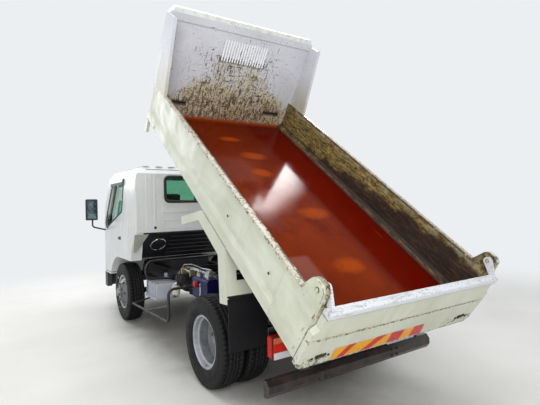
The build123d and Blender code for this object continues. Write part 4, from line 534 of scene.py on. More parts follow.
# Nodes by finish. The others are tyres and wheels by their names, and black as the chassis.
NODES_BY_FINISH = {
    "bed_side": "bed_side_left bed_side_right", "headboard": "headboard", "gate": "tailgate",
    "guard": "mudguards", "frame": "bed_frame", "floor": "bed_floor", "cab": "cab_shell door_left door_right",
    "glass": "windscreen rear_glass door_glass_left door_glass_right", "clear": "headlamps",
    "red": "tail_lamps", "flap": "mud_flaps", "amber": "turn_lamps", "bumper": "rear_bumper",
    "plastic": "dashboard steering_wheel mirror_left mirror_right", "grey_plastic": "front_bumper",
    "seat": "seats", "blue": "hydraulic_tank", "cover": "battery_box rear_plate", "cast": "engine",
    "exhaust": "exhaust", "guard_rail": "side_guards", "chrome": "hoist_rod",
}
NODE_FINISH = {name: finish for finish, names in NODES_BY_FINISH.items() for name in names.split()}
for name, node in frame["nodes"].items():
    finish = NODE_FINISH.get(name, "tyre" if "tyre" in name else "wheel" if "wheel" in name else "chassis")
    if not node.material_slots:
        node.data.materials.append(MATERIALS[finish])
    for slot in node.material_slots:
        slot.material = MATERIALS[finish]


# Mesh tools
def new_piece(name, mesh, body, finish, smooth):
    """Put a finished mesh in the scene, riding on a body."""
    mesh.name = name
    mesh.materials.append(MATERIALS[finish])
    for face in mesh.polygons:
        face.use_smooth = smooth
    piece = put(name, mesh)
    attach(piece, body)
    return piece


def loops_mesh(rings, closed=False):
    """Skin a list of rings, each a list of as many points, with end faces unless it closes on itself."""
    mesh = bpy.data.meshes.new("loops")
    count = len(rings[0])
    faces = []
    for i in range(len(rings) if closed else len(rings) - 1):
        a, b = i * count, (i + 1) % len(rings) * count
        for j in range(count):
            k = (j + 1) % count
            faces.append((a + j, a + k, b + k, b + j))
    if not closed:
        faces.append(tuple(range(count))[::-1])
        faces.append(tuple((len(rings) - 1) * count + j for j in range(count)))
    mesh.from_pydata([tuple(point) for ring in rings for point in ring], [], faces)
    return mesh


def join_meshes(meshes):
    """One mesh made of several."""
    whole = bmesh.new()
    for mesh in meshes:
        whole.from_mesh(mesh)
        bpy.data.meshes.remove(mesh)
    bmesh.ops.recalc_face_normals(whole, faces=whole.faces)
    joined = bpy.data.meshes.new("joined")
    whole.to_mesh(joined)
    whole.free()
    return joined


# Tyres with road tread: distances from the tyre's middle plane, and radii
TYRE_HALF = 0.100
TREAD_HALF = 0.080
RIBS = ((-0.080, -0.050), (-0.043, -0.017), (-0.010, 0.010), (0.017, 0.043), (0.050, 0.080))
WALL = (
    (0.062, 0.203), (0.076, 0.204), (0.084, 0.215), (0.090, 0.228), (0.0915, 0.230), (0.0925, 0.236),
    (0.0975, 0.255), (0.0998, 0.275), (0.0998, 0.292), (0.0992, 0.296), (0.0975, 0.299), (0.0975, 0.318),
    (0.0955, 0.335), (0.0925, 0.349), (0.088, 0.360),
)
INSIDE = ((0.080, 0.300), (0.080, 0.325), (0.05, 0.350), (-0.05, 0.350), (-0.080, 0.325), (-0.080, 0.300))
GROOVE = 0.009
CROWN_DROP = 0.0105
SHOULDER_DROP = 0.0145
PITCHES = 56
# Shares of a pitch at which rings lie, and the rings that are the foot of a cut across the ribs
CUTS = (0.0, 0.05, 0.20, 0.25)
CUT_FOOT = (1, 2)


def tread_tyre(centre):
    """A tyre about the Y axis: ribs cut across at each pitch, sidewall beads and an open inside."""
    section = [(-y, r, 0) for y, r in WALL]
    for low, high in RIBS:
        for y, foot in ((low, True), (low + 0.0004, False), (high - 0.0004, False), (high, True)):
            radius = TYRE_R - CROWN_DROP * (y / TREAD_HALF) ** 2 - 0.0005
            if foot and abs(y) < TREAD_HALF - 0.001:
                radius -= GROOVE
            section.append((y, radius, 0 if abs(y) < 0.012 else 1))
    section += [(y, r, 0) for y, r in (*reversed(WALL), *INSIDE)]
    rings = []
    for pitch in range(PITCHES):
        for step, share in enumerate(CUTS):
            ring = []
            for y, radius, slit in section:
                lag = 0.25 * y / TREAD_HALF
                angle = 2 * pi * (pitch + share + lag * slit) / PITCHES
                if slit and step in CUT_FOOT and radius > TYRE_R - SHOULDER_DROP:
                    radius -= GROOVE * (0.9 if abs(y) > 0.045 else 0.45)
                ring.append((centre[0] + radius * cos(angle), centre[1] + y, centre[2] + radius * sin(angle)))
            rings.append(ring)
    return loops_mesh(rings, closed=True)


def make_tyres():
    for side, _ in SIDES:
        for tyre, wheel in (("front_tyre", "front_wheel"), ("rear_tyres", "rear_wheels")):
            low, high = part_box(f"{tyre}_{side}")
            middle = (low + high) / 2
            planes = (low.y + TYRE_HALF, high.y - TYRE_HALF) if tyre == "rear_tyres" else (middle.y,)
            mesh = join_meshes([tread_tyre((middle.x, y, middle.z)) for y in planes])
            piece = new_piece(f"treaded_{tyre}_{side}", mesh, f"{wheel}_{side}", "tyre", smooth=True)
            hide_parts(f"{tyre}_{side}")


make_tyres()


# Shapes of the pieces, in metres from the rear axle's centre line on the ground
def prism(outline, low, high, axis):
    """An outline pushed along an axis: along X it is in y and z, along Y in x and z, along Z in x and y."""
    def point(a, b, level):
        return truck(*{"X": (level, a, b), "Y": (a, level, b), "Z": (a, b, level)}[axis])
    return loops_mesh([[point(a, b, level) for a, b in outline] for level in (low, high)])


def block(x, y, z):
    """A box between pairs of x, y and z."""
    return prism([(x[0], y[0]), (x[1], y[0]), (x[1], y[1]), (x[0], y[1])], z[0], z[1], "Z")


def span(sign, near, far):
    """A pair of y on one side of the truck, the lower one first."""
    return sorted((sign * near, sign * far))


def ring(place, side, up, radius, steps):
    """Points round a place, from two directions across it."""
    angles = [2 * pi * i / steps for i in range(steps)]
    return [place + radius * (cos(angle) * side + sin(angle) * up) for angle in angles]


def turned(profile, place, axis, steps=24):
    """A turned form, from pairs of a distance along the axis and a radius."""
    place = truck(*place)
    ahead = Vector(axis).normalized()
    side = ahead.orthogonal().normalized()
    up = ahead.cross(side)
    return loops_mesh([ring(place + along * ahead, side, up, radius, steps) for along, radius in profile])


def bolt(place, axis, radius):
    """A hexagon head on its washer."""
    washer = [(-0.001, radius * 1.5), (radius * 0.3, radius * 1.5), (radius * 0.35, radius * 1.4)]
    head = [(0, radius), (radius, radius), (radius * 1.15, radius * 0.8)]
    return [turned(washer, place, axis, 14), turned(head, place, axis, 6)]


def bolts(x, y, z, axis, radius):
    """A bolt wherever the listed x, y and z meet."""
    return [mesh for place in product(x, y, z) for mesh in bolt(place, axis, radius)]


def rounded(points, radius, closed=False, steps=4):
    """A line of points with its corners turned into short curves."""
    points = [Vector(point) for point in points]
    line = []
    for i, point in enumerate(points):
        if not closed and i in (0, len(points) - 1):
            line.append(point)
            continue
        before = points[i - 1] - point
        after = points[(i + 1) % len(points)] - point
        reach = min(radius, before.length * 0.48, after.length * 0.48)
        start, end = point + before.normalized() * reach, point + after.normalized() * reach
        for k in range(steps + 1):
            share = k / steps
            line.append(start * (1 - share) ** 2 + point * 2 * share * (1 - share) + end * share ** 2)
    return line


def pipe(points, radius, bend=0.03, sides=10):
    """A rigid pipe with bent corners."""
    line = rounded([truck(*point) for point in points], bend)
    rings = []
    side = None
    for i, point in enumerate(line):
        ahead = (line[min(i + 1, len(line) - 1)] - line[max(i - 1, 0)]).normalized()
        side = (side - side.dot(ahead) * ahead).normalized() if side else ahead.orthogonal().normalized()
        rings.append(ring(point, side, ahead.cross(side), radius, sides))
    return loops_mesh(rings)


def trim(points, outward, width, height, corner=0.03):
    """A closed strip along a line, standing out from the face that it lies on."""
    line = rounded([truck(*point) for point in points], corner, closed=True, steps=6)
    outward = Vector(outward).normalized()
    rings = []
    for i, point in enumerate(line):
        ahead = (line[(i + 1) % len(line)] - line[i - 1]).normalized()
        across = ahead.cross(outward).normalized()
        rings.append([
            point + across * a * width + outward * b * height
            for a, b in ((-0.5, -0.3), (-0.5, 0.6), (-0.3, 1), (0.3, 1), (0.5, 0.6), (0.5, -0.3))
        ])
    return loops_mesh(rings, closed=True)


def add_piece(name, meshes, body, finish, smooth=False, edge=0.0):
    """Join meshes into one piece on a body, raised with the bed if it is the bed's or the gate's."""
    mesh = join_meshes(meshes)
    if body in ("bed", "tailgate"):
        mesh.transform(RAISED)
    piece = new_piece(name, mesh, body, finish, smooth)
    if edge:
        modifier = piece.modifiers.new("round", "BEVEL")
        modifier.width = edge
        modifier.segments = 2
        modifier.limit_method = "ANGLE"
        modifier.angle_limit = radians(35)
        modifier.harden_normals = True


# The tailgate's reflecting board, latches and pins
GATE_REAR = -1.315
BOARD_FOOT, BOARD_TOP = 0.838, 0.940
# Each part of the board: finish, how far its face and its back stand out, how far it goes past the board's
# foot and top, and the y of each of its fields along the foot and back along the top
BOARD_PARTS = {
    "reflector_board": ("cover", 0.002, -0.001, 0.004, ((0.605, -0.268, -0.236, 0.605),)),
    "reflector_yellow": (
        "yellow", 0.0026, 0.0015, 0, ((0.598, 0.104, 0.104, 0.598), (-0.028, -0.128, -0.128, -0.028)),
    ),
    "reflector_red": (
        "reflect_red", 0.0026, 0.0015, 0, ((0.100, -0.026, -0.026, 0.100), (-0.130, -0.258, -0.232, -0.130)),
    ),
    "reflector_stripes": (
        "reflect_red", 0.0032, 0.0015, 0, ((0.545, 0.482, 0.425, 0.487), (0.337, 0.247, 0.153, 0.241)),
    ),
}
LATCH_Y = 0.6925
LATCH_HALF = 0.0385


def make_gate_fittings():
    for name, (finish, out, deep, past, fields) in BOARD_PARTS.items():
        heights = (BOARD_FOOT - past, BOARD_FOOT - past, BOARD_TOP + past, BOARD_TOP + past)
        meshes = [prism(list(zip(ys, heights)), GATE_REAR - out, GATE_REAR - deep, "X") for ys in fields]
        add_piece(name, meshes, "tailgate", finish)
    levers, pins = [], []
    tube = ((-0.034, 0.009), (-0.034, 0.012), (0.034, 0.012), (0.034, 0.009))
    head = ((-0.004, 0.030), (0.003, 0.030), (0.005, 0.027), (0.005, 0.016), (0.011, 0.015), (0.011, 0.0005))
    for _, sign in SIDES:
        y = sign * LATCH_Y
        levers += [
            block((GATE_REAR + 0.008, GATE_REAR + 0.014), (y - LATCH_HALF, y + LATCH_HALF), (0.880, 0.914)),
            block((GATE_REAR - 0.004, GATE_REAR + 0.010), (y - 0.030, y + 0.030), (0.893, 0.901)),
            turned(tube, (GATE_REAR + 0.004, y, 0.910), (0, 1, 0), 12),
        ]
        levers += bolts([GATE_REAR], span(sign, 0.630, 0.755), [0.898], (-1, 0, 0), 0.006)
        pins.append(turned(head, (-1.205, sign * 0.846, 1.350), (0, sign, 0)))
    add_piece("gate_latches", levers, "tailgate", "rusty")
    add_piece("gate_pin_heads", pins, "bed", "rusty")


def make_bed_fittings():
    # The channel behind the headboard's low slots is black as painted shade in the slots
    channel = [block((1.7865, 1.7905), (-0.79, 0.79), (1.060, 1.150))]
    for z in (1.060, 1.144):
        channel.append(block((1.7865, 1.802), (-0.79, 0.79), (z, z + 0.006)))
    add_piece("headboard_channel", channel, "bed", "slot_shade")
    plugs, guard_bolts = [], []
    plug = ((-0.001, 0.009), (0.002, 0.009), (0.003, 0.006))
    for _, sign in SIDES:
        for x, z in ((-0.816, 1.103), (-0.204, 1.082)):
            plugs.append(turned(plug, (x, sign * 0.848, z), (0, sign, 0), 12))
        guard_bolts += bolts((-0.205, -0.155, 0.105, 0.155), [sign * 0.811], [0.863], (0, sign, 0), 0.007)
    add_piece("side_plugs", plugs, "bed", "rusty")
    add_piece("guard_bolts", guard_bolts, "bed", "rusty")


# Fittings on the chassis
RAIL_FACE = 0.360
RAIL_BOLTS_X = (-0.82, -0.74, -0.60, -0.44, -0.30, 0.30, 0.38, 0.92, 1.00, 1.26, 1.34, 1.50, 1.58)
TANK_TOP = 0.770
# Steel pipes from the valve block and the tank to the pump
PIPE_RUNS = (
    ((0.69, 0.418, 0.800), (0.86, 0.418, 0.800), (0.98, 0.448, 0.822), (1.22, 0.448, 0.812),
     (1.34, 0.404, 0.772), (1.40, 0.404, 0.70)),
    ((0.69, 0.462, 0.806), (0.88, 0.468, 0.812), (1.02, 0.500, 0.790), (1.18, 0.500, 0.806),
     (1.37, 0.430, 0.764), (1.43, 0.430, 0.70)),
    ((0.78, 0.500, 0.798), (0.78, 0.500, 0.835), (0.93, 0.520, 0.828), (1.06, 0.476, 0.770),
     (1.28, 0.476, 0.796), (1.40, 0.456, 0.72)),
    ((0.63, 0.440, 0.832), (0.63, 0.440, 0.846), (0.76, 0.470, 0.846), (0.92, 0.436, 0.842),
     (1.12, 0.420, 0.846), (1.30, 0.444, 0.826), (1.38, 0.430, 0.74)),
)


def make_rail_bolts():
    meshes = []
    for _, sign in SIDES:
        meshes += bolts(RAIL_BOLTS_X, [sign * RAIL_FACE], (0.575, 0.665), (0, sign, 0), 0.008)
    add_piece("rail_bolts", meshes, "chassis", "dark_bolt")


def make_tank_fittings():
    """The valve block, the breather and the plugs on the tank's top."""
    valve = [
        block((0.60, 0.70), (0.405, 0.475), (TANK_TOP - 0.002, 0.822)),
        block((0.615, 0.645), (0.42, 0.46), (0.82, 0.836)),
        block((0.66, 0.69), (0.42, 0.46), (0.82, 0.832)),
        block((0.585, 0.715), (0.395, 0.485), (TANK_TOP - 0.001, 0.779)),
        turned([(0, 0.011), (0.055, 0.011), (0.058, 0.008)], (0.70, 0.44, 0.80), (1, 0, 0), 6),
    ]
    valve += bolts((0.593, 0.707), (0.403, 0.477), [0.779], (0, 0, 1), 0.005)
    add_piece("valve_block", valve, "chassis", "zinc", edge=0.002)
    neck = (
        (-0.002, 0.016), (0.014, 0.016), (0.014, 0.028), (0.018, 0.031), (0.036, 0.031), (0.041, 0.026),
        (0.041, 0.001),
    )
    breather = [turned(neck, (0.56, 0.50, TANK_TOP), (0, 0, 1))]
    plug = [(-0.002, 0.014), (0.010, 0.014), (0.010, 0.010), (0.03, 0.010)]
    for x in (0.76, 0.80):
        breather.append(turned(plug, (x, 0.50, TANK_TOP), (0, 0, 1), 6))
    add_piece("tank_breather", breather, "chassis", "zinc")


def make_hydraulics():
    """The pipes with their nuts and clamps, the pump, and the tank's cap and level gauge."""
    add_piece("steel_pipes", [pipe(run, 0.007) for run in PIPE_RUNS], "chassis", "zinc", smooth=True)
    nuts = []
    for run in PIPE_RUNS:
        for start, towards in ((run[0], run[1]), (run[-1], run[-2])):
            ahead = Vector(towards) - Vector(start)
            nuts.append(turned([(0, 0.013), (0.018, 0.013), (0.020, 0.010)], start, ahead, 6))
    for x in (0.93, 1.15):
        nuts += [
            block((x - 0.008, x + 0.008), (0.356, 0.53), (0.752, 0.758)),
            block((x - 0.008, x + 0.008), (0.356, 0.362), (0.66, 0.758)),
            block((x - 0.010, x + 0.010), (0.42, 0.53), (0.756, 0.812)),
        ]
    add_piece("pipe_fittings", nuts, "chassis", "brass")
    case = [(0, 0.03), (0.012, 0.058), (0.10, 0.058), (0.115, 0.048), (0.14, 0.048), (0.15, 0.02)]
    pump = [
        turned(case, (1.34, 0.43, 0.655), (1, 0, 0)),
        block((1.37, 1.46), (0.395, 0.465), (0.66, 0.715)),
        block((1.36, 1.375), (0.355, 0.50), (0.59, 0.70)),
        *bolts([1.36], (0.38, 0.48), [0.60], (-1, 0, 0), 0.007),
    ]
    add_piece("tipping_pump", pump, "chassis", "cast", edge=0.003)
    cap = [(-0.003, 0.031), (0.004, 0.031), (0.004, 0.029), (0.020, 0.029), (0.026, 0.025), (0.026, 0.001)]
    add_piece("tank_cap", [turned(cap, (0.730, 0.551, 0.705), (0, 1, 0), 20)], "chassis", "cap_red")
    gauge = [block((0.640, 0.664), (0.538, 0.546), (0.60, 0.72))]
    screw = ((0, 0.009), (0.006, 0.009), (0.008, 0.006))
    gauge += [turned(screw, (0.652, 0.546, z), (0, 1, 0), 10) for z in (0.612, 0.708)]
    add_piece("tank_level_gauge", gauge, "chassis", "zinc")


def make_filter():
    bowl = [(0, 0.02), (0.004, 0.044), (0.012, 0.048), (0.105, 0.048), (0.112, 0.044), (0.115, 0.02)]
    add_piece("fuel_filter", [turned(bowl, (1.50, 0.46, 0.46), (0, 0, 1))], "chassis", "ivory")
    lid = [(0, 0.050), (0.016, 0.050), (0.022, 0.042), (0.032, 0.040), (0.032, 0.002)]
    head = [
        turned(lid, (1.50, 0.46, 0.573), (0, 0, 1)),
        block((1.475, 1.525), (0.355, 0.44), (0.580, 0.590)),
        block((1.475, 1.525), (0.355, 0.364), (0.55, 0.66)),
    ]
    for x, way in ((1.47, -1), (1.53, 1)):
        head.append(turned([(0, 0.010), (0.03, 0.010)], (x, 0.48, 0.59), (way, 0.3, 0), 8))
    add_piece("filter_head", head, "chassis", "zinc")


def make_battery_details():
    straps = []
    for x in ((1.70, 1.725), (1.975, 2.0)):
        straps += [block(x, (0.428, 0.634), (0.567, 0.5745)), block(x, (0.629, 0.6345), (0.40, 0.573))]
        straps += bolt((sum(x) / 2, 0.6345, 0.42), (0, 1, 0), 0.006)
    add_piece("battery_straps", straps, "chassis", "zinc")
    lid = [block((1.664, 2.036), (0.434, 0.626), (0.5695, 0.573))]
    for z in (0.50, 0.46):
        lid.append(block((1.75, 1.95), (0.628, 0.634), (z, z + 0.012)))
    add_piece("battery_lid", lid, "chassis", "cover", edge=0.002)


# Tail lamp lenses by finish: piece name, and lower and upper edge
TAIL_LENSES = {
    "amber": ("amber", (0.548, 0.586)),
    "red": ("red", (0.492, 0.544)),
    "lens_clear": ("clear", (0.444, 0.488)),
}
LENS_PITCH = 0.008


def make_rear_fittings():
    for finish, (name, z) in TAIL_LENSES.items():
        lenses = []
        for _, sign in SIDES:
            y = span(sign, 0.524, 0.696)
            lenses.append(block((-0.836, -0.829), y, z))
            for line in range(int((z[1] - z[0]) / LENS_PITCH)):
                low = z[0] + 0.004 + line * LENS_PITCH
                lenses.append(block((-0.8372, -0.8355), (y[0] + 0.004, y[1] - 0.004), (low, low + 0.003)))
        add_piece(f"tail_lens_{name}", lenses, "chassis", finish, edge=0.001)
    frames = [block((-0.826, -0.818), span(sign, 0.512, 0.708), (0.432, 0.598)) for _, sign in SIDES]
    add_piece("tail_lamp_frames", frames, "chassis", "plastic", edge=0.002)
    pair = bolts([-0.914], (-0.62, -0.34), [0.512], (-1, 0, 0), 0.006)
    add_piece("plate_bolts", pair, "chassis", "zinc")
    lamp = [
        block((-0.935, -0.898), (-0.53, -0.43), (0.534, 0.552)),
        block((-0.930, -0.905), (-0.52, -0.44), (0.530, 0.535)),
    ]
    add_piece("plate_lamp", lamp, "chassis", "plastic", edge=0.003)
    rows = bolts([-0.940], (-0.40, -0.34, 0.34, 0.40), (0.285, 0.330), (-1, 0, 0), 0.008)
    add_piece("bumper_bolts", rows, "chassis", "rusty")
    disc = [(0, 0.032), (0.005, 0.032), (0.007, 0.028), (0.007, 0.001)]
    reflectors = [turned(disc, (-0.899, sign * 0.38 - 0.12, 0.44), (-1, 0, 0)) for _, sign in SIDES]
    add_piece("round_reflectors", reflectors, "chassis", "red")


# Fittings of the cab: outlines in x and z on its sides, in y and z on its ends
CAB_REAR = 1.880
CAB_SIDE = 0.835
DOOR_GLASS = ((2.385, 1.425), (2.385, 1.835), (2.935, 1.835), (3.200, 1.260), (3.120, 1.190))
REAR_GLASS = ((0.428, 1.536), (0.428, 1.844), (-0.428, 1.844), (-0.428, 1.536))
WINDSCREEN = ((0.700, 1.225), (0.648, 1.890), (-0.648, 1.890), (-0.700, 1.225))
MIRROR_SAIL = ((3.118, 1.196), (3.192, 1.262), (3.128, 1.402), (3.060, 1.216))
BELT_LINE = ((2.325, 1.150), (3.28, 1.150), (3.28, 1.156), (2.325, 1.156))
# Section of the visor over the door window: z, and how far it stands out
VISOR = (
    (1.850, 0.001), (1.840, 0.016), (1.800, 0.026), (1.762, 0.024), (1.762, 0.0215), (1.800, 0.0235),
    (1.838, 0.013), (1.846, 0.001),
)
VISOR_X = (2.372, 2.50, 2.80, 2.955)
MIRROR_FACE = 3.2335
MIRROR_Y = (0.944, 1.078)
MIRROR_Z = (1.316, 1.584)
# Where the cab's side and the windscreen begin to lean in, and by how much for each metre up
SIDE_BEND_Z, SIDE_LEAN = 1.25, 0.048 / 0.61
SCREEN_FOOT_X, SCREEN_FOOT_Z, SCREEN_LEAN = 3.450, 1.190, 0.360 / 0.740


def side_y(z, sign):
    """The cab's side surface at a height."""
    return sign * (CAB_SIDE - max(0.0, z - SIDE_BEND_Z) * SIDE_LEAN)


def screen_x(z):
    """The windscreen's surface at a height."""
    return SCREEN_FOOT_X - (z - SCREEN_FOOT_Z) * SCREEN_LEAN


def make_window_trim():
    rear = trim([(CAB_REAR - 0.001, y, z) for y, z in REAR_GLASS], (-1, 0, 0), 0.034, 0.010, 0.06)
    add_piece("rear_window_seal", [rear], "cab", "seal", smooth=True)
    front = trim([(screen_x(z) + 0.001, y, z) for y, z in WINDSCREEN], (0.74, 0, 0.36), 0.030, 0.008, 0.05)
    add_piece("windscreen_seal", [front], "cab", "seal", smooth=True)
    for side, sign in SIDES:
        line = [(x, side_y(z, sign), z) for x, z in DOOR_GLASS]
        seal = trim(line, (0, sign, 0.06), 0.024, 0.006, 0.03)
        add_piece(f"door_window_seal_{side}", [seal], f"door_{side}", "seal", smooth=True)


def side_sheet(outline, sign, out, thick):
    """A thin sheet on the cab's side, from its outline in x and z."""
    rings = []
    for depth in (out, out + thick):
        rings.append([truck(x, side_y(z, sign) + sign * depth, z) for x, z in outline])
    return loops_mesh(rings)


def make_door_fittings():
    for side, sign in SIDES:
        body = f"door_{side}"
        sail = side_sheet(MIRROR_SAIL, sign, -0.004, 0.008)
        add_piece(f"mirror_sail_{side}", [sail], body, "plastic", edge=0.002)
        sections = [[truck(x, side_y(z, sign) + sign * out, z) for z, out in VISOR] for x in VISOR_X]
        add_piece(f"door_visor_{side}", [loops_mesh(sections)], body, "smoke")
        grip = span(sign, CAB_SIDE - 0.010, CAB_SIDE + 0.008)
        recess = span(sign, CAB_SIDE - 0.0175, CAB_SIDE - 0.014)
        lock = [(-0.003, 0.012), (0.003, 0.012), (0.004, 0.009), (0.004, 0.0005)]
        handle = [
            block((2.414, 2.500), grip, (1.072, 1.092)), block((2.408, 2.502), recess, (1.060, 1.102)),
            turned(lock, (2.53, sign * CAB_SIDE, 1.075), (0, sign, 0), 16),
        ]
        add_piece(f"door_handle_{side}", handle, body, "plastic", edge=0.003)
        line = side_sheet(BELT_LINE, sign, -0.001, 0.003)
        add_piece(f"door_belt_line_{side}", [line], body, "cab", edge=0.001)
        left, right = span(sign, *MIRROR_Y)
        low, high = MIRROR_Z
        corners = ((left, low), (right, low), (right, high), (left, high))
        outline = rounded([(MIRROR_FACE, y, z) for y, z in corners], 0.02, True, 5)
        mirror = [[truck(point.x + depth, point.y, point.z) for point in outline] for depth in (0, 0.002)]
        add_piece(f"mirror_glass_{side}", [loops_mesh(mirror)], body, "mirror_glass")
        rim = trim([(MIRROR_FACE + 0.0017, y, z) for y, z in corners], (-1, 0, 0), 0.012, 0.005, 0.02)
        add_piece(f"mirror_rim_{side}", [rim], body, "plastic", smooth=True)


def make_cab_front():
    wipers = []
    for y in (0.42, -0.30):
        start = (screen_x(1.235) + 0.020, y, 1.205)
        end = (screen_x(1.30) + 0.022, y - 0.40, 1.275)
        blade = [(screen_x(z) + 0.012, y - shift, z) for shift, z in ((0.66, 1.262), (0.14, 1.292))]
        wipers += [
            pipe([start, (start[0] - 0.008, y - 0.06, 1.228), end], 0.006, 0.02), pipe(blade, 0.005, 0.01, 6),
            turned([(-0.012, 0.014), (0.008, 0.014), (0.012, 0.010)], start, (0.7, 0, 0.4), 12),
        ]
    add_piece("wipers", wipers, "cab", "plastic")
    bowl = (
        (-0.045, 0.010), (-0.040, 0.022), (-0.02, 0.038), (0.0, 0.046), (0.002, 0.046), (-0.018, 0.039),
        (-0.038, 0.020), (-0.042, 0.001),
    )
    lamps = [turned(bowl, (3.545, sign * y, 0.70), (1, 0, 0)) for _, sign in SIDES for y in (0.53, 0.63)]
    add_piece("lamp_reflectors", lamps, "cab", "mirror", smooth=True)
    bars = []
    for number in range(4):
        low = 0.768 + number * 0.034
        bars.append(block((3.547, 3.549), (-0.42, 0.42), (low + 0.001, low + 0.019)))
    for y in (-0.28, -0.14, 0.0, 0.14, 0.28):
        bars.append(block((3.547, 3.556), (y - 0.004, y + 0.004), (0.769, 0.889)))
    add_piece("grille_mesh", bars, "cab", "plastic")


def make_cab_rear():
    """Stamped ridges of the rear panel and roof, the side plates under its corners, and plugs."""
    ridges = []
    section = ((0.002, -0.016), (-0.004, -0.008), (-0.004, 0.008), (0.002, 0.016))
    for y in (-0.66, -0.56, 0.56, 0.66):
        ridges.append(prism([(CAB_REAR + out, y + off) for out, off in section], 1.22, 1.86, "Z"))
    for z in (1.26, 1.46):
        for y in (-0.46, 0.06):
            corners = ((y, z - 0.05), (y + 0.40, z - 0.05), (y + 0.40, z + 0.05), (y, z + 0.05))
            ridges.append(trim([(CAB_REAR, *corner) for corner in corners], (-1, 0, 0), 0.016, 0.003, 0.03))
    add_piece("rear_panel_ridges", ridges, "cab", "cab")
    waves = []
    for number in range(9):
        y = -0.64 + number * 0.16
        section = [(y - 0.045, 1.968), (y - 0.025, 1.9735), (y + 0.025, 1.9735), (y + 0.045, 1.968)]
        waves.append(prism(section, 1.93, 2.85, "X"))
    add_piece("roof_ridges", waves, "cab", "cab", edge=0.002)
    plates, plugs = [], []
    plate = ((0.811, 1.146), (0.640, 1.146), (0.796, 0.945), (0.829, 0.945))
    pressing = ((0.780, 1.12), (0.700, 1.12), (0.775, 1.02), (0.796, 1.02))
    plug = [(-0.002, 0.017), (0.004, 0.017), (0.008, 0.012), (0.008, 0.0005)]
    for _, sign in SIDES:
        for outline, rear, front in ((plate, 0.006, 0.006), (pressing, 0.010, -0.005)):
            plates.append(prism([(sign * y, z) for y, z in outline], CAB_REAR - rear, CAB_REAR + front, "X"))
        plugs.append(turned(plug, (CAB_REAR, sign * 0.559, 1.222), (-1, 0, 0), 16))
    # The side plates carry cab paint made grey as painted shade
    add_piece("corner_plates", plates, "cab", "painted_shade_cab", edge=0.002)
    add_piece("rear_plugs", plugs, "cab", "plastic")


# The sloped panel under the cab's back: its outward and downward directions, the middle of its round cover,
# its top edge in x and z, and its run from there to its foot
PAN_NORMAL = Vector((-0.752, 0, -0.659))
PAN_SLOPE = Vector((0.659, 0, -0.752))
PAN_CAP = Vector((1.9909, 0.49, 1.0066))
PAN_TOP = (1.884, 1.1467)
PAN_RUN = (0.276, -0.3147)


def make_floor_pan_details():
    rim = [(-0.001, 0.098), (0.003, 0.098), (0.006, 0.095), (0.006, 0.091), (0.003, 0.088), (-0.001, 0.088)]
    add_piece("pan_cap_ring", [turned(rim, PAN_CAP, PAN_NORMAL, 32)], "cab", "mirror")
    knobs = []
    side = Vector((0, 1, 0))
    for place in ring(PAN_CAP + 0.014 * PAN_NORMAL, side, PAN_NORMAL.cross(side), 0.066, 6):
        knobs += bolt(place, PAN_NORMAL, 0.006)
    add_piece("pan_cap_bolts", knobs, "cab", "dark_bolt")
    slots = []
    corners = ((-0.05, 0), (-0.04, 0.012), (0.04, 0.012), (0.05, 0), (0.04, -0.012), (-0.04, -0.012))
    for number in range(5):
        y = -0.52 + number * 0.17
        for share in (0.20, 0.37, 0.54, 0.71):
            base = Vector((PAN_TOP[0] + share * PAN_RUN[0], y, PAN_TOP[1] + share * PAN_RUN[1]))
            rings = []
            for out in (0.0005, 0.0035):
                level = base + out * PAN_NORMAL
                rings.append([truck(*(level + Vector((0, a, 0)) + PAN_SLOPE * b)) for a, b in corners])
            slots.append(loops_mesh(rings))
    add_piece("pan_pressings", slots, "cab", "plastic", edge=0.001)


RIM_EDGE = 0.2085
VALVE_DROP = 0.196


def make_wheel_details():
    """A valve and a balance weight on each outer rim."""
    stem = [(-0.02, 0.005), (0.016, 0.005), (0.016, 0.0065), (0.026, 0.0065), (0.028, 0.004)]
    section = ((-0.004, -0.004), (0.003, -0.004), (0.003, 0.004), (-0.004, 0.004))
    for side, sign in SIDES:
        for body in (f"front_wheel_{side}", f"rear_wheels_{side}"):
            low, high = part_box(body)
            centre = (low + high) / 2
            face = high.y if sign > 0 else low.y
            place = (centre.x - AXLE_X, face - sign * 0.030, centre.z - VALVE_DROP)
            valve = turned(stem, place, (0, sign, 0.35), 10)
            weight = []
            for angle in (radians(100 + 4 * step) for step in range(5)):
                rim = Vector((RIM_EDGE * cos(angle), 0, RIM_EDGE * sin(angle)))
                point = Vector((centre.x, face - sign * 0.002, centre.z)) + rim
                weight.append([point + Vector((0, sign * a, b)) for a, b in section])
            add_piece(f"valve_and_weight_{body}", [valve, loops_mesh(weight)], body, "zinc")


make_gate_fittings()
make_bed_fittings()
make_rail_bolts()
make_tank_fittings()
make_hydraulics()
make_filter()
make_battery_details()
make_rear_fittings()
make_window_trim()
make_door_fittings()
make_cab_front()
make_cab_rear()
make_floor_pan_details()
make_wheel_details()


# Camera at the photograph's place, fitted in a frame of 540 by 405 pixels
FRAME_WIDTH = 540
FOCAL_PIXELS = 423.56
SENSOR = 36
CAMERA_PLACE = truck(-3.162, 2.277, 1.484)
CAMERA_YAW, CAMERA_PITCH, CAMERA_ROLL = radians(-34.01), radians(0.179), radians(-1.137)


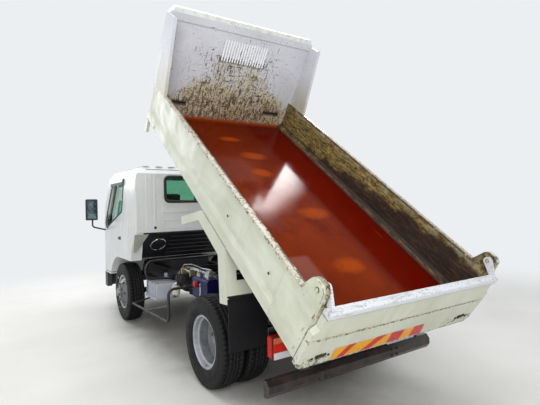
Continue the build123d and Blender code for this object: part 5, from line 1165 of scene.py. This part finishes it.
def make_camera():
    data = bpy.data.cameras.new("camera")
    data.sensor_width = SENSOR
    data.sensor_fit = "HORIZONTAL"
    data.lens = FOCAL_PIXELS * SENSOR / FRAME_WIDTH
    camera = put("camera", data)
    ahead = Vector((
        cos(CAMERA_PITCH) * cos(CAMERA_YAW), cos(CAMERA_PITCH) * sin(CAMERA_YAW), sin(CAMERA_PITCH),
    ))
    level_right = ahead.cross(Vector((0, 0, 1))).normalized()
    level_up = level_right.cross(ahead)
    right = cos(CAMERA_ROLL) * level_right + sin(CAMERA_ROLL) * level_up
    up = cos(CAMERA_ROLL) * level_up - sin(CAMERA_ROLL) * level_right
    turn = Matrix((right, up, -ahead)).transposed().to_4x4()
    camera.matrix_world = Matrix.Translation(CAMERA_PLACE) @ turn
    bpy.context.scene.camera = camera


BACKDROP = (0.84, 0.86, 0.88, 1)
WORLD_LIGHT = (0.93, 0.96, 1.0, 1)
WORLD_STRENGTH = 0.56
FLOOR_REACH = 40
# Distances from the middle between which the floor fades into the backdrop
FADE = (3.4, 7.5)
# The painted shadow under the truck: how far ahead of the rear axle its middle is, and its half length and
# half width
SHADOW_AHEAD, SHADOW_HALF_X, SHADOW_HALF_Y = 1.3, 2.9, 1.05
# Lamps: place, aim, size and power
LAMPS = {
    "lamp_overhead": ((0.0, 0.0, 7.5), (0.0, 0, 0.8), 7.0, 300),
    "lamp_behind": ((-6.2, 3.4, 3.0), (0.5, 0, 1.5), 4.0, 258),
    "lamp_front": ((6.5, 1.5, 4.0), (1.5, 0, 1.0), 4.0, 150),
}


def make_floor():
    """A pale floor with a painted shadow under the truck."""
    f = Finish("studio_floor")
    f.color = f.mix(f.clouds(0.3, 0.7, 0.7, 4, 0.6), (226, 225, 221), (216, 215, 210))
    # Painted shadow: the floor made darker in an oval under the truck
    along = f.math("DIVIDE", f.minus(f.x, AXLE_X + SHADOW_AHEAD), SHADOW_HALF_X)
    far = f.distance(along, f.math("DIVIDE", f.y, SHADOW_HALF_Y))
    f.over((96, 92, 86), f.ramp(f.sum(far, f.both(f.noise(1.6, 4, 0.6, seed=4), 0.5)), 1.35, 0.75), 0.8)
    f.finish(0.6, shine=0.15)
    glow = f.add("ShaderNodeEmission", 0, {"Color": BACKDROP})
    fade = f.ramp(f.distance(f.x, f.y), *FADE)
    f.show(f.add("ShaderNodeMixShader", 0, {0: fade, 1: f.surface.outputs[0], 2: glow}))
    data = bpy.data.meshes.new("studio_floor")
    corners = [(x * FLOOR_REACH, y * FLOOR_REACH, 0) for x, y in ((-1, -1), (1, -1), (1, 1), (-1, 1))]
    data.from_pydata(corners, [], [(0, 1, 2, 3)])
    data.materials.append(f.material)
    put("studio_floor", data)


def make_world():
    """Plain light all round, with the backdrop where the camera, gloss or glass sees it."""
    world = bpy.data.worlds.new("studio")
    bpy.context.scene.world = world
    w = Nodes(world)
    light = w.add("ShaderNodeBackground", 0, {"Color": WORLD_LIGHT, "Strength": WORLD_STRENGTH})
    backdrop = w.add("ShaderNodeBackground", 0, {"Color": BACKDROP})
    rays = [w.add("ShaderNodeLightPath", f"Is {kind} Ray") for kind in ("Camera", "Glossy", "Transmission")]
    w.show(w.add("ShaderNodeMixShader", 0, {0: w.either(*rays), 1: light, 2: backdrop}))


def make_lamps():
    for name, (place, aim, size, power) in LAMPS.items():
        data = bpy.data.lights.new(name, "AREA")
        data.shape = "SQUARE"
        data.size = size
        data.energy = power
        lamp = put(name, data)
        lamp.location = place
        lamp.rotation_euler = (Vector(aim) - Vector(place)).to_track_quat("-Z", "Y").to_euler()
    bpy.context.scene.view_settings.view_transform = "Standard"


# The bright window mirrored in the bed floor: its sharp side and its soft side, in the floor's x and y
GLARE_SHARP = ((1.085, -0.539), (0.826, -0.281), (0.567, -0.024), (0.307, 0.234), (0.048, 0.492))
GLARE_SOFT = ((1.068, -0.552), (0.490, -0.456), (0.230, -0.261), (0.057, 0.020), (-0.104, 0.314))
GLARE_MIDDLE = (0.45, -0.02)
GLARE_REACH = 3.2
GLARE_STEPS = 6
GLARE_POWER = 43.0


def make_glare_card():
    """A lamp card seen only in reflections, on the mirrored sight lines to the floor."""
    normal = (RAISED.to_3x3() @ Vector((0, 0, 1))).normalized()
    level = in_bed(0, 0, BED_FLOOR)
    mirrored_eye = CAMERA_PLACE - 2 * (CAMERA_PLACE - level).dot(normal) * normal
    middle = in_bed(*GLARE_MIDDLE, BED_FLOOR)
    ahead = (middle - mirrored_eye).normalized()
    board = middle + ahead * GLARE_REACH
    points, shades, faces = [], [], []
    for i, (sharp, soft) in enumerate(zip(GLARE_SHARP, GLARE_SOFT)):
        for k in range(GLARE_STEPS + 1):
            share = k / GLARE_STEPS
            place = in_bed(*(a * (1 - share) + b * share for a, b in zip(sharp, soft)), BED_FLOOR)
            line = (place - mirrored_eye).normalized()
            points.append(mirrored_eye + line * ((board - mirrored_eye).dot(ahead) / line.dot(ahead)))
            shades.append((share, i / (len(GLARE_SHARP) - 1)))
    across = GLARE_STEPS + 1
    for i in range(len(GLARE_SHARP) - 1):
        for a in range(i * across, i * across + GLARE_STEPS):
            faces.append((a, a + 1, a + across + 1, a + across))
    mesh = bpy.data.meshes.new("glare_card")
    mesh.from_pydata([tuple(point) for point in points], [], faces)
    layer = mesh.uv_layers.new(name="shade")
    for loop in mesh.loops:
        layer.data[loop.index].uv = shades[loop.vertex_index]
    f = Finish("glare_card")
    shade = f.split(f.add("ShaderNodeTexCoord", "UV"))
    fades = (f.ramp(shade[0], 0.25, 1.0, 1.0, 0.0), f.ramp(shade[1], 0.0, 0.45, 0.45, 1.0))
    f.show(f.add("ShaderNodeEmission", 0, {"Strength": f.both(*fades, GLARE_POWER)}))
    mesh.materials.append(f.material)
    card = put("glare_card", mesh)
    card.visible_camera = False
    card.visible_diffuse = False
    card.visible_shadow = False
    card.visible_transmission = False


make_camera()
make_floor()
make_world()
make_lamps()
make_glare_card()
